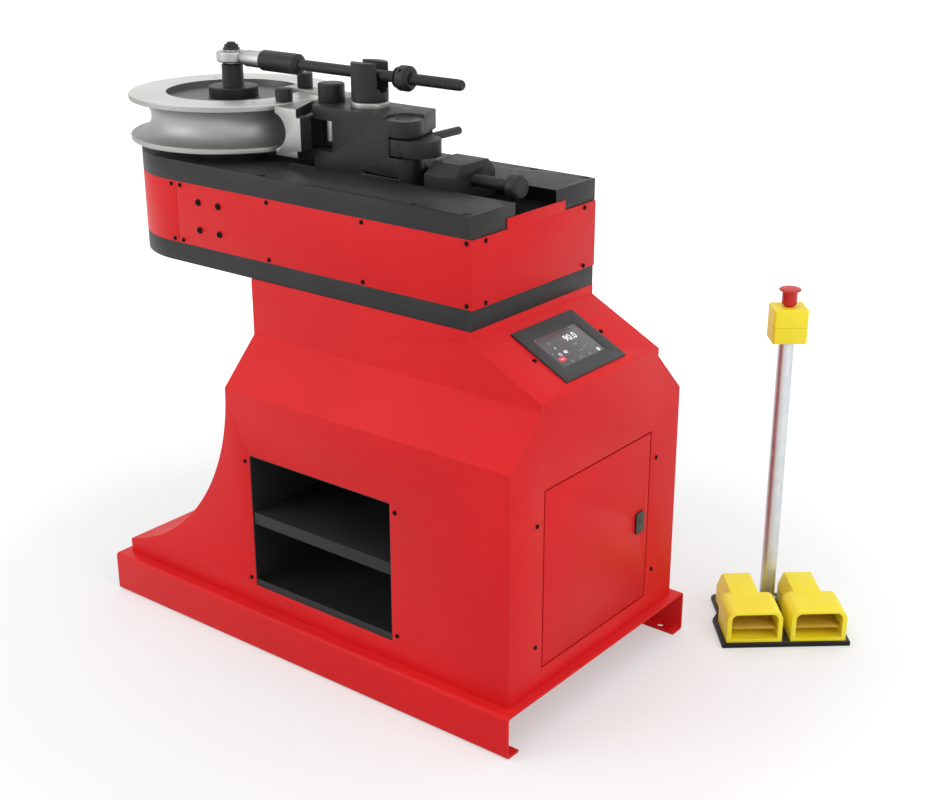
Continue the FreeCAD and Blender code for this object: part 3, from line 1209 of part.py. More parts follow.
def thrust_washer():
    """The washer that the tie nut pushes against the slotted post."""
    x0 = TIE_NUT_X - TIE_WASHER_T - SEAT_GAP
    x1 = x0 + TIE_WASHER_T
    inner = ROD_R + RUNNING_FIT
    return turned_on_x([(x0, inner), (x0, TIE_WASHER_R - WIDE_BEVEL), (x0 + BEVEL, TIE_WASHER_R),
                        (x1, TIE_WASHER_R), (x1, inner)], 0, ROD_Z)


def tie_nut():
    """The round nut on the tie rod, with a chamfer at each end."""
    x0, x1 = TIE_NUT_X, TIE_NUT_X + TIE_NUT_LENGTH
    inner = ROD_R + RUNNING_FIT
    bevel = TIE_NUT_BEVEL
    nut = turned_on_x([(x0, inner), (x0, TIE_NUT_R - bevel), (x0 + bevel, TIE_NUT_R), (x1 - bevel, TIE_NUT_R),
                       (x1, TIE_NUT_R - bevel), (x1, inner)], 0, ROD_Z)
    for i in range(4):
        hole = upright(TOMMY_HOLE_R, TIE_NUT_R - 2 * TOMMY_HOLE_R, TIE_NUT_R + 1, (x0 + x1) / 2)
        hole.rotate(V(0, 0, 0), X_AXIS, 45 + 90 * i)
        hole.translate(V(0, 0, ROD_Z))
        nut = nut.cut(hole)
    return nut


def carriage_plan(z0, z1):
    """The carriage seen from above: chamfered nose, straight sides, round knuckle."""
    w = CARRIAGE_HALF_WIDTH
    touch = math.radians(KNUCKLE_SLANT)
    tangent = (CAM_X + KNUCKLE_R * math.cos(touch), CAM_Y + KNUCKLE_R * math.sin(touch))
    nose = CARRIAGE_NOSE_HALF
    corners = [(CARRIAGE_CORNER_X, -w), (CAM_X, -w), (CAM_X, CAM_Y), tangent, (CARRIAGE_BACK_X, w),
               (CARRIAGE_CORNER_X, w), (CARRIAGE_NOSE_X, nose), (CARRIAGE_NOSE_X, -nose)]
    block = prism([V(x, y, z0) for x, y in corners], V(0, 0, z1 - z0))
    knuckle = upright(KNUCKLE_R, max(z0, DECK_Z + SIDE_PLAY), z1, CAM_X, CAM_Y)
    low_half = upright(KNUCKLE_R, z0, z1, CAM_X, CAM_Y).common(box(CAM_X, CAM_X + KNUCKLE_R, -w, w, z0, z1))
    return fuse([block, knuckle, low_half])


def disc_place(swing):
    """The centre of the eccentric disc after the bar has swung by some degrees."""
    turn = math.radians(-swing)
    x = CAM_OFFSET_X * math.cos(turn) - CAM_OFFSET_Y * math.sin(turn)
    y = CAM_OFFSET_X * math.sin(turn) + CAM_OFFSET_Y * math.cos(turn)
    return CAM_X + x, CAM_Y + y


def release_slot():
    """The room in which the hub, the disc and the bar of the release swing."""
    z0, z1 = CAM_SLOT_Z0, CAM_SLOT_Z1
    right = CAM_X + 2 * KNUCKLE_R
    pieces = [upright(KNUCKLE_R + CAM_SLOT_ROOM, z0, z1, CAM_X, CAM_Y),
              box(CAM_X - LEVER_R - CAM_SLOT_ROOM, right, CAM_Y, CARRIAGE_HALF_WIDTH + 1, z0, z1)]
    for swing in (0, CAM_SWING / 3, 2 * CAM_SWING / 3, CAM_SWING):
        x, y = disc_place(swing)
        pieces.append(upright(CAM_DISC_R + CAM_SLOT_ROOM, z0, z1, x, y))
    return fuse(pieces)


def carriage_block():
    """The carriage: fork for the holder, slot for the release cam, bores for posts and pins."""
    w = CARRIAGE_HALF_WIDTH
    clear = CAM_X + 2 * KNUCKLE_R
    top = CARRIAGE_TOP_Z + 1
    block = carriage_plan(CARRIAGE_BOTTOM_Z, CARRIAGE_TOP_Z)
    block = block.cut(box(CARRIAGE_NOSE_X - 1, JAW_GAP_END_X, -w - 1, w + 1, JAW_Z0, JAW_Z1))
    block = block.cut(release_slot())
    block = block.cut(upright(HOLDER_PIN_R, CARRIAGE_BOTTOM_Z + HOLDER_PIN_FOOT, top, HOLDER_PIN_X))
    block = block.cut(upright(SPIGOT_R, CARRIAGE_TOP_Z - SPIGOT_DEPTH, top, POST_X))
    foot = CARRIAGE_BOTTOM_Z + CAM_JOURNAL_FOOT
    block = block.cut(upright(CAM_JOURNAL_R + RUNNING_FIT, foot, top, CAM_X, CAM_Y))
    block = block.cut(upright(KNUCKLE_POCKET_R, CARRIAGE_TOP_Z - KNUCKLE_POCKET_DEPTH, top,
                              CAM_X + KNUCKLE_POCKET_SHIFT, CAM_Y - KNUCKLE_POCKET_SHIFT))
    block = block.cut(along_x(SCREW_NOSE_R + RUNNING_FIT, SCREW_NOSE_X - SEAT_GAP, clear, 0, SCREW_Z))
    recess_y = -w + SIDE_RECESS_DEPTH
    recess_out = -w - KNUCKLE_PROUD - 1
    return block.cut(box(SIDE_RECESS_X0, SIDE_RECESS_X1, recess_out, recess_y, SIDE_RECESS_Z0, SIDE_RECESS_Z1))


def slotted_post():
    """The post whose slot holds the tie rod, on its spigot."""
    z0, z1 = CARRIAGE_TOP_Z + WASHER_HEIGHT, SLOTTED_POST_TOP_Z
    post = round_block(SLOTTED_POST_R, z0, z1, WIDE_BEVEL, BEVEL, POST_X)
    x0, x1 = POST_X - SLOTTED_POST_R - 1, POST_X + SLOTTED_POST_R + 1
    half, flute = SLOT_HALF_WIDTH, SLOT_FLUTE
    post = post.cut(box(x0, x1, -half, half, SLOT_FLOOR_Z + flute, z1 + 1))
    post = post.cut(box(x0, x1, -half + flute, half - flute, SLOT_FLOOR_Z, z1 + 1))
    return fuse([post, upright(SPIGOT_R, CARRIAGE_TOP_Z - SPIGOT_DEPTH, z0 + 1, POST_X)])


def post_washer():
    z0, z1 = CARRIAGE_TOP_Z, CARRIAGE_TOP_Z + WASHER_HEIGHT
    disc = round_block(WASHER_R, z0, z1, 0, WIDE_BEVEL, POST_X)
    return disc.cut(upright(SPIGOT_R, z0 - 1, z1 + 1, POST_X))


def holder_pin():
    """The bright pin through the fork, with its black head."""
    z1 = CARRIAGE_TOP_Z + HOLDER_PIN_HEAD
    head = round_block(HOLDER_PIN_HEAD_R, CARRIAGE_TOP_Z, z1, WIDE_BEVEL, BEVEL, HOLDER_PIN_X)
    foot = CARRIAGE_BOTTOM_Z + HOLDER_PIN_FOOT
    return fuse([head, upright(HOLDER_PIN_R, foot, CARRIAGE_TOP_Z, HOLDER_PIN_X)])


def shoe_holder():
    """The block behind the counter die, with a strap round the pin at its top and its foot."""
    z0, z1 = JAW_Z0 + SEAT_GAP, JAW_Z1 - SEAT_GAP
    neck, half = HOLDER_NECK_HALF, HOLDER_HALF_WIDTH
    block = box(SHOE_BACK_X, HOLDER_PIN_X + HOLDER_NECK_PAST, -neck, neck, z0, z1)
    face = box(SHOE_BACK_X, SHOE_BACK_X + HOLDER_FACE_T, -half, half, z0, z1)
    solids = [block, face]
    for low in (z0, z1 - HOLDER_STRAP_T):
        solids.append(upright(HOLDER_ROUND_R, low, low + HOLDER_STRAP_T, HOLDER_PIN_X))
    return fuse(solids).cut(upright(HOLDER_PIN_R + RUNNING_FIT, z0 - 1, z1 + 1, HOLDER_PIN_X))


def counter_die():
    """The grooved shoe that backs the tube, cut away for the fork's nose above and below."""
    x0 = SHOE_FRONT_X
    middle = box(x0, SHOE_BACK_X, SHOE_Y0, SHOE_Y1, JAW_Z0, JAW_Z1)
    ear = box(SHOE_BACK_X, SHOE_EAR_X, SHOE_Y0, SHOE_EAR_Y, JAW_Z0, JAW_Z1 + SHOE_EAR_RISE)
    flange = [V(x0, SHOE_Y0, 0), V(SHOE_CORNER_X, SHOE_Y0, 0), V(SHOE_FLANGE_X, SHOE_FLANGE_Y, 0),
              V(SHOE_FLANGE_X, SHOE_Y1, 0), V(x0, SHOE_Y1, 0)]
    solids = [middle, ear]
    for z0, z1 in ((SHOE_Z0, JAW_Z0), (JAW_Z1, SHOE_Z1)):
        solids.append(prism([V(p.x, p.y, z0) for p in flange], V(0, 0, z1 - z0)))
    shoe = fuse(solids)
    return shoe.cut(along_y(GROOVE_R, SHOE_Y0 - 1, SHOE_Y1 + 1, TUBE_X, TUBE_Z))


def release_lever():
    """The eccentric pin of the quick release, with its bar."""
    journals = upright(CAM_JOURNAL_R, CARRIAGE_BOTTOM_Z + CAM_JOURNAL_FOOT + SEAT_GAP,
                       CARRIAGE_TOP_Z - KNUCKLE_POCKET_DEPTH, CAM_X, CAM_Y)
    hub = upright(KNUCKLE_R, CAM_DISC_Z0, CAM_DISC_Z1, CAM_X, CAM_Y)
    disc = upright(CAM_DISC_R, CAM_DISC_Z0, CAM_DISC_Z1, *disc_place(0))
    z = (CAM_DISC_Z0 + CAM_DISC_Z1) / 2 + LEVER_RISE
    bar = along_y(LEVER_R, CAM_Y, LEVER_TIP_Y - LEVER_R / 2, CAM_X, z)
    bar = fuse([bar, Part.makeSphere(LEVER_R, V(CAM_X, LEVER_TIP_Y - LEVER_R, z))])
    return fuse([journals, hub, disc, bar])


def feed_screw():
    """The screw with its thrust nose and its round head."""
    x0, x1 = SCREW_HEAD_X, SCREW_HEAD_X + SCREW_HEAD_LENGTH
    rim, bevel = SCREW_HEAD_R, SCREW_HEAD_BEVEL
    shaft = [(SCREW_NOSE_X, 0), (SCREW_NOSE_X, SCREW_NOSE_R), (SCREW_SHOULDER_X, SCREW_NOSE_R),
             (SCREW_SHOULDER_X, SCREW_R), (x0, SCREW_R)]
    head = [(x0, rim - bevel), (x0 + bevel, rim), (x1 - bevel, rim), (x1, rim - bevel), (x1, 0)]
    return turned_on_x(shaft + head, 0, SCREW_Z)


def nut_block():
    """The fixed block that the feed screw runs in."""
    w, c = CARRIAGE_HALF_WIDTH, NUT_BLOCK_CHAMFER
    z0, z1 = CHANNEL_FLOOR_Z, NUT_BLOCK_TOP_Z
    corners = [(-w, z0), (w, z0), (w, z1 - c), (w - c, z1), (c - w, z1), (-w, z1 - c)]
    block = prism([V(NUT_BLOCK_X0, y, z) for y, z in corners], V(NUT_BLOCK_X1 - NUT_BLOCK_X0, 0, 0))
    block = block.cut(upright(NUT_BLOCK_SCALLOP_R, z0 - 1, z1 + 1, CAM_X, CAM_Y))
    return block.cut(along_x(SCREW_R + 2 * RUNNING_FIT, NUT_BLOCK_X0 - 1, NUT_BLOCK_X1 + 1, 0, SCREW_Z))


def hook_leg_x():
    """Inner face of the hook's outer leg, just outside the tube."""
    return TUBE_X + TUBE_R + HOOK_TUBE_GAP


def clamp_hook():
    """The hook round the tube: arm over the die, leg outside, short toe below."""
    z1 = DIE_TOP_Z + SEAT_GAP
    leg_x = hook_leg_x()
    outer = leg_x + HOOK_LEG_T
    toe_z1 = TUBE_Z - TUBE_R - HOOK_TUBE_GAP
    arm = box(HOOK_X0, outer, HOOK_Y0, HOOK_Y1, z1, z1 + HOOK_ARM_T)
    leg = box(leg_x, outer, HOOK_Y0, HOOK_Y1, SHOE_Z0, z1 + HOOK_ARM_T)
    toe = box(leg_x - HOOK_TOE, outer, HOOK_Y0, HOOK_Y1, SHOE_Z0, toe_z1)
    pad = box(leg_x - HOOK_PAD, leg_x, HOOK_Y0, HOOK_Y1, TUBE_Z + TUBE_R - HOOK_PAD / 2, z1 + HOOK_ARM_T)
    tube = along_y(TUBE_R + HOOK_TUBE_GAP, HOOK_Y0 - 1, HOOK_Y1 + 1, TUBE_X, TUBE_Z)
    bolt = upright(HOOK_PIVOT_R + RUNNING_FIT, z1 - 1, z1 + HOOK_ARM_T + 1, HOOK_PIVOT_X, HOOK_PIVOT_Y)
    return fuse([arm, leg, toe, pad]).cut(tube).cut(bolt)


def clamp_bolts():
    """The hook's pivot bolt and the stop bolt on the die."""
    seat = DIE_TOP_Z + HOOK_ARM_T + 2 * SEAT_GAP
    head = round_block(REAR_BOLT_R, seat, REAR_BOLT_TOP_Z, BEVEL, BEVEL, HOOK_PIVOT_X, HOOK_PIVOT_Y)
    rear = fuse([upright(HOOK_PIVOT_R, DIE_TOP_Z - BOLT_DEPTH, seat, HOOK_PIVOT_X, HOOK_PIVOT_Y), head])
    front = round_block(FRONT_BOLT_R, DIE_TOP_Z, FRONT_BOLT_TOP_Z, BEVEL, BEVEL, FRONT_BOLT_X, FRONT_BOLT_Y)
    return Part.makeCompound([rear, front])


def door_panel():
    """The door: face sheet, turned-in flanges and two hinge pins."""
    half = DOOR_HALF_WIDTH
    x1 = END_FACE_X
    x0 = x1 - DOOR_FLANGE
    t = DOOR_SHEET
    tray = box(x0, x1, -half, half, DOOR_Z0, DOOR_Z1).cut(
        box(x0 - 1, x1 - t, -half + t, half - t, DOOR_Z0 + t, DOOR_Z1 - t))
    pins = [upright(HINGE_PIN_R, DOOR_Z0 - DOOR_GAP - HINGE_PIN_LENGTH, DOOR_Z0 + 1, HINGE_X, HINGE_Y),
            upright(HINGE_PIN_R, DOOR_Z1 - 1, DOOR_Z1 + DOOR_GAP + HINGE_PIN_LENGTH, HINGE_X, HINGE_Y)]
    door = fuse([tray] + pins)
    return door.cut(along_x(LOCK_BARREL_R, x1 - t - 1, x1 + 1, LOCK_Y, LOCK_Z))


def door_lock():
    """The lock's plate on the door, with its barrel."""
    x1 = END_FACE_X + LOCK_PLATE_THICK
    plate = box(END_FACE_X, x1, LOCK_Y - LOCK_PLATE_WIDTH / 2, LOCK_Y + LOCK_PLATE_WIDTH / 2,
                LOCK_Z - LOCK_PLATE_HEIGHT / 2, LOCK_Z + LOCK_PLATE_HEIGHT / 2)
    long_edges = [e for e in plate.Edges if spans(e.BoundBox.XLength, LOCK_PLATE_THICK)]
    plate = plate.makeFillet(LOCK_PLATE_CORNER, long_edges)
    barrel = along_x(LOCK_BARREL_R, END_FACE_X - LOCK_BARREL_BACK, END_FACE_X, LOCK_Y, LOCK_Z)
    bore = along_x(LOCK_CORE_R + RUNNING_FIT, END_FACE_X - LOCK_CAM_BACK, x1 + 1, LOCK_Y, LOCK_Z)
    return fuse([plate, barrel]).cut(bore)


def lock_cam():
    """The lock's turning core with its key slot, and the cam behind the sheet."""
    x1 = END_FACE_X + LOCK_PLATE_THICK + LOCK_CORE_PROUD
    core = along_x(LOCK_CORE_R, END_FACE_X - LOCK_CAM_BACK, x1, LOCK_Y, LOCK_Z)
    half = KEY_SLOT / 2
    core = core.cut(box(x1 - 2 * KEY_SLOT, x1 + 1, LOCK_Y - half, LOCK_Y + half,
                        LOCK_Z - 2 * KEY_SLOT, LOCK_Z + 2 * KEY_SLOT))
    x0 = END_FACE_X - LOCK_CAM_BACK
    cam = box(x0, x0 + LOCK_CAM_T, LOCK_Y - LOCK_CAM_HALF, LOCK_Y + LOCK_CAM_HALF,
              LOCK_Z - LOCK_CAM_HALF, LOCK_Z + LOCK_CAM_REACH)
    return fuse([core, cam])


def place_foot(shape):
    """Move a piece of the foot control from its own corner to its place on the floor."""
    placed = shape.copy()
    placed.rotate(V(0, 0, 0), Z_AXIS, FOOT_ANGLE)
    placed.translate(V(FOOT_X, FOOT_Y, 0))
    return placed


def foot_base():
    """The flat black plate under the two pedals, waisted at both sides."""
    w, d, n = FOOT_WIDTH, FOOT_DEPTH, FOOT_NOTCH
    left = [(0, 0.50 * d), (n, 0.63 * d), (n, d - FOOT_TAIL), (n + FOOT_TAIL, d)]
    right = [(w - x, y) for x, y in reversed(left)]
    corners = [(w, 0), (0, 0)] + left + right
    return place_foot(prism([V(x, y, 0) for x, y in corners], V(0, 0, FOOT_PLATE_T)))


def hood_starts():
    """Left edges of the two hoods along the plate's front."""
    return (HOOD_MARGIN, FOOT_WIDTH - HOOD_MARGIN - HOOD_WIDTH)


def treadle_pin_y():
    """The treadle's pin, far enough before the mouth's back wall for its barrel."""
    return HOOD_FRONT + HOOD_DEPTH - HOOD_BACK - TREADLE_PIN_R - TREADLE_BARREL_WALL - TREADLE_ROOM


def treadle_pin_z():
    return FOOT_PLATE_T + HOOD_SILL + TREADLE_PIN_RISE


def switch_box(x0, y0):
    """The box behind a guard, with sloped shoulders and a chamfered back edge."""
    z0, x1, slope = FOOT_PLATE_T, x0 + REAR_BOX_WIDTH, REAR_BOX_SLOPE
    shoulder, top = z0 + REAR_BOX_SHOULDER, z0 + REAR_BOX_HEIGHT
    section = [V(x0, y0, z0), V(x1, y0, z0), V(x1, y0, shoulder), V(x1 - slope, y0, top),
               V(x0 + slope, y0, top), V(x0, y0, shoulder)]
    solid = prism(section, V(0, REAR_BOX_DEPTH, 0))
    back = edges_where(solid, lambda p: p.y > y0 + 1 and p.z > top - 1)
    return solid.makeChamfer(REAR_BOX_CHAMFER, back)


def pedal_hoods():
    """Two yellow hoods, each a guard open at the front with a switch box behind."""
    z0 = FOOT_PLATE_T
    solids = []
    for a in hood_starts():
        front_y, back_y = HOOD_FRONT, HOOD_FRONT + HOOD_DEPTH
        guard = box(a, a + HOOD_WIDTH, front_y, back_y, z0, z0 + HOOD_HEIGHT)
        long_top = [e for e in guard.Edges if spans(e.BoundBox.YLength, HOOD_DEPTH)
                    and e.BoundBox.ZMin > z0 + 1]
        guard = guard.makeFillet(HOOD_CORNER_R, long_top)
        rear = switch_box(a + REAR_BOX_SHIFT, back_y - REAR_BOX_LAP)
        wall = HOOD_WALL
        mouth = box(a + wall, a + HOOD_WIDTH - wall, front_y - 1, back_y - HOOD_BACK, z0 + HOOD_SILL,
                    z0 + HOOD_HEIGHT - HOOD_ROOF)
        mouth_top = [e for e in mouth.Edges if e.BoundBox.ZMin > z0 + HOOD_SILL + 1
                     and e.BoundBox.YLength > HOOD_DEPTH / 2]
        mouth = mouth.makeFillet(HOOD_CORNER_R - HOOD_ROOF, mouth_top)
        hood = fuse([guard, rear]).cut(mouth)
        pin = along_x(TREADLE_PIN_R, a + 1, a + HOOD_WIDTH - 1, treadle_pin_y(), treadle_pin_z())
        solids.append(place_foot(fuse([hood, pin])))
    return Part.makeCompound(solids)


def treadle(index):
    """One treadle, hinged on the pin at the back of its hood."""
    a = hood_starts()[index]
    z = treadle_pin_z()
    x0, x1 = a + HOOD_WALL + TREADLE_ROOM, a + HOOD_WIDTH - HOOD_WALL - TREADLE_ROOM
    y0, y1 = TREADLE_FRONT, treadle_pin_y()
    half = TREADLE_T / 2
    tread = [V(x0, y0, z + TREADLE_RISE - half), V(x0, y1, z - half),
             V(x0, y1, z + half), V(x0, y0, z + TREADLE_RISE + half)]
    plate = prism(tread, V(x1 - x0, 0, 0))
    barrel = along_x(TREADLE_PIN_R + TREADLE_BARREL_WALL, x0, x1, y1, z)
    solid = fuse([plate, barrel]).cut(along_x(TREADLE_PIN_R + RUNNING_FIT, x0 - 1, x1 + 1, y1, z))
    return place_foot(solid)


def stop_column():
    """The tube of the stop button's stand, with its foot flange."""
    x, y = FOOT_WIDTH / 2, COLUMN_SETBACK
    z0 = FOOT_PLATE_T
    foot = upright(COLUMN_R + COLUMN_FOOT_WALL, z0, z0 + COLUMN_FOOT_HEIGHT, x, y)
    return place_foot(fuse([upright(COLUMN_R, z0, STOP_BOX_Z, x, y), foot]))


def stop_box():
    """The yellow box on the column: a lower tray and a cover, with the button's collar."""
    x, y = FOOT_WIDTH / 2, COLUMN_SETBACK
    w, d = STOP_BOX_WIDTH / 2, STOP_BOX_DEPTH / 2
    z0, z1 = STOP_BOX_Z, STOP_BOX_Z + STOP_BOX_HEIGHT
    seam = z0 + STOP_BOX_SEAM
    solids = []
    groove = STOP_BOX_GROOVE
    for low, high in ((z0, seam), (seam + groove, z1)):
        half_box = box(x - w, x + w, y - d, y + d, low, high)
        half_box = half_box.makeFillet(STOP_BOX_CORNER, upright_edges(half_box))
        outer_z = z0 if low == z0 else z1
        rim = edges_where(half_box, lambda p: abs(p.z - outer_z) < 1e-6)
        solids.append(half_box.makeChamfer(STOP_BOX_CHAMFER, rim))
    joint = box(x - w + 2 * groove, x + w - 2 * groove, y - d + 2 * groove, y + d - 2 * groove,
                seam - groove, seam + 2 * groove)
    body = fuse([solids[0], joint, solids[1]])
    body = body.cut(upright(STOP_STEM_R + RUNNING_FIT, z1 - STOP_STEM_DEPTH - STOP_TRAVEL_ROOM, z1 + 1, x, y))
    return place_foot(body)


def stop_button():
    """The red mushroom button with its stem."""
    x, y = FOOT_WIDTH / 2, COLUMN_SETBACK
    z1 = STOP_BOX_Z + STOP_BOX_HEIGHT
    neck_z, head_z = z1 + STOP_TRAVEL_ROOM, z1 + STOP_NECK_HEIGHT
    top = head_z + STOP_HEAD_HEIGHT
    quarter = STOP_HEAD_HEIGHT / 4
    profile = [(0, z1 - STOP_STEM_DEPTH), (STOP_STEM_R, z1 - STOP_STEM_DEPTH), (STOP_STEM_R, neck_z),
               (STOP_NECK_R, neck_z), (STOP_NECK_R, head_z - quarter), (STOP_HEAD_R - quarter, head_z),
               (STOP_HEAD_R, head_z + quarter), (STOP_HEAD_R - BEVEL, top - 1.4 * quarter),
               (STOP_HEAD_R / 1.5, top - 1), (0, top)]
    return place_foot(turned(profile, x, y))


NODES = {
    "base_frame": base_frame,
    "cabinet_side_near": lambda: cabinet_side(-1),
    "cabinet_side_far": lambda: cabinet_side(1),
    "cabinet_end_panel": cabinet_end_panel,
    "cabinet_curved_panel": cabinet_curved_panel,
    "shelf_box": shelf_box,
    "middle_shelf": middle_shelf,
    "component_plate": component_plate,
    "drive_inverter": drive_inverter,
    "contactors": contactors,
    "screen_bezel": screen_bezel,
    "touch_screen": touch_screen,
    "head_bottom_plate": head_bottom_plate,
    "head_top_plate": head_top_plate,
    "nose_cover": nose_cover,
    "side_cover_near": lambda: side_cover(-1),
    "side_cover_far": lambda: side_cover(1),
    "head_end_cover": head_end_cover,
    "head_spacers": head_spacers,
    "cover_screws": cover_screws,
    "top_plate_screws": top_plate_screws,
    "cabinet_screws": cabinet_screws,
    "spindle_bearings": spindle_bearings,
    "bearing_cap": bearing_cap,
    "gear_reducer": gear_reducer,
    "drive_motor": drive_motor,
    "idler_axle": idler_axle,
    "nut_block": nut_block,
    "spindle_shaft": spindle_shaft,
    "spindle_gear": spindle_gear,
    "bending_die": bending_die,
    "tie_post": tie_post,
    "clamp_hook": clamp_hook,
    "clamp_bolts": clamp_bolts,
    "spherical_bush": spherical_bush,
    "post_nut": post_nut,
    "idler_gear": idler_gear,
    "drive_pinion": drive_pinion,
    "rod_end": rod_end,
    "tie_rod": tie_rod,
    "thrust_washer": thrust_washer,
    "tie_nut": tie_nut,
    "carriage_block": carriage_block,
    "holder_pin": holder_pin,
    "slotted_post": slotted_post,
    "post_washer": post_washer,
    "shoe_holder": shoe_holder,
    "counter_die": counter_die,
    "release_lever": release_lever,
    "feed_screw": feed_screw,
    "door_panel": door_panel,
    "door_lock": door_lock,
    "lock_cam": lock_cam,
    "foot_base": foot_base,
    "pedal_hoods": pedal_hoods,
    "left_treadle": lambda: treadle(0),
    "right_treadle": lambda: treadle(1),
    "stop_column": stop_column,
    "stop_box": stop_box,
    "stop_button": stop_button,
}


def main():
    os.makedirs("parts", exist_ok=True)
    for name, build in NODES.items():
        shape = build()
        solids = shape.Solids
        print(f"{name}: {len(solids)} solid(s), valid {shape.isValid()}, {shape.Volume / 1000:.1f} cm3")
        if len(solids) == 1:
            shape = solids[0]
        shape.exportStep(f"parts/{name}.step")


main()
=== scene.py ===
"""Looks of a floor-standing tube bending machine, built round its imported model.

Everything is in metres, in the model's own frame: +X runs to the end with the door, -Y is the
long side with the tool shelf, +Z is up. Sizes of the pieces are kept in millimetres.
"""

import logging
import math
from dataclasses import dataclass
from enum import Enum
from functools import cache
from typing import Callable, Iterable, Optional, Sequence, Union

import bmesh
import bpy
from mathutils import Matrix, Vector

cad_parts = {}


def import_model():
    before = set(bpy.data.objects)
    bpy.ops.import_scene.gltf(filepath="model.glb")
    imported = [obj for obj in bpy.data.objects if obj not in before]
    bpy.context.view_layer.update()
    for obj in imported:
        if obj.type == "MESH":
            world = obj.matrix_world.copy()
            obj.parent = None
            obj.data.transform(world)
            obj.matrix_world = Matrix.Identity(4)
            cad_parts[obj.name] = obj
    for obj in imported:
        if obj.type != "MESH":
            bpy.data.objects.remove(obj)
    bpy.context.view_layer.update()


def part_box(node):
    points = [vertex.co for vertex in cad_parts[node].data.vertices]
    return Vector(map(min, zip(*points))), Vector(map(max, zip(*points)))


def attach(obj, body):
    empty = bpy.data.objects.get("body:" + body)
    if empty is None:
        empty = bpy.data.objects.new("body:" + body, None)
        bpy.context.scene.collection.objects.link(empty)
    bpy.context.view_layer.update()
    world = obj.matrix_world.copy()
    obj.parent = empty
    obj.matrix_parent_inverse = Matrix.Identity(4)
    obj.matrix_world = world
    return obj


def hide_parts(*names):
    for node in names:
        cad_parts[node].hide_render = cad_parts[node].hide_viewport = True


LOG = logging.getLogger("tube_bending_machine")
MM = 0.001
TURN = 2 * math.pi

Point = tuple[float, float]
Triple = tuple[float, float, float]
Colour = tuple[float, float, float]
Test = Callable[[Vector, Vector], bool]

BLACK: Colour = (0.0, 0.0, 0.0)
WHITE: Colour = (1.0, 1.0, 1.0)


class Body(Enum):
    """The bodies of the model that pieces of this script move with."""

    MACHINE = "machine"
    SPINDLE = "spindle"
    CLAMP = "clamp"
    TIE_BAR = "tie_bar"
    TIE_WASHER = "tie_washer"
    TIE_NUT = "tie_nut"
    CARRIAGE = "carriage"
    COUNTER_DIE = "counter_die"
    RELEASE = "release"
    FEED_SCREW = "feed_screw"
    DOOR = "door"
    LATCH = "door_latch"
    LEFT_PEDAL = "left_pedal"
    RIGHT_PEDAL = "right_pedal"
    STOP_BUTTON = "stop_button"


class Pick(Enum):
    """What a selection takes in edit mode."""

    FACES = "FACE"
    EDGES = "EDGE"


class Axis(Enum):
    """The direction of the axis that a piece or its turning marks run round."""

    UPRIGHT = "upright"
    ALONG_X = "along_x"


def rgb(code: str) -> Colour:
    """Turns a colour code into the linear numbers that shaders take.

    Args:
        code: six hexadecimal digits after a hash sign.

    Returns:
        Red, green and blue, each from 0 to 1.
    """
    values = [int(code[i:i + 2], 16) / 255 for i in (1, 3, 5)]
    linear = [v / 12.92 if v <= 0.04045 else ((v + 0.055) / 1.055) ** 2.4 for v in values]
    return linear[0], linear[1], linear[2]


def mixed(a: Colour, b: Colour, share: float) -> Colour:
    """Returns the colour that lies a share of the way from a to b."""
    red, green, blue = (x + (y - x) * share for x, y in zip(a, b))
    return red, green, blue


# ---------------------------------------------------------------------------------------------
# Shader nodes


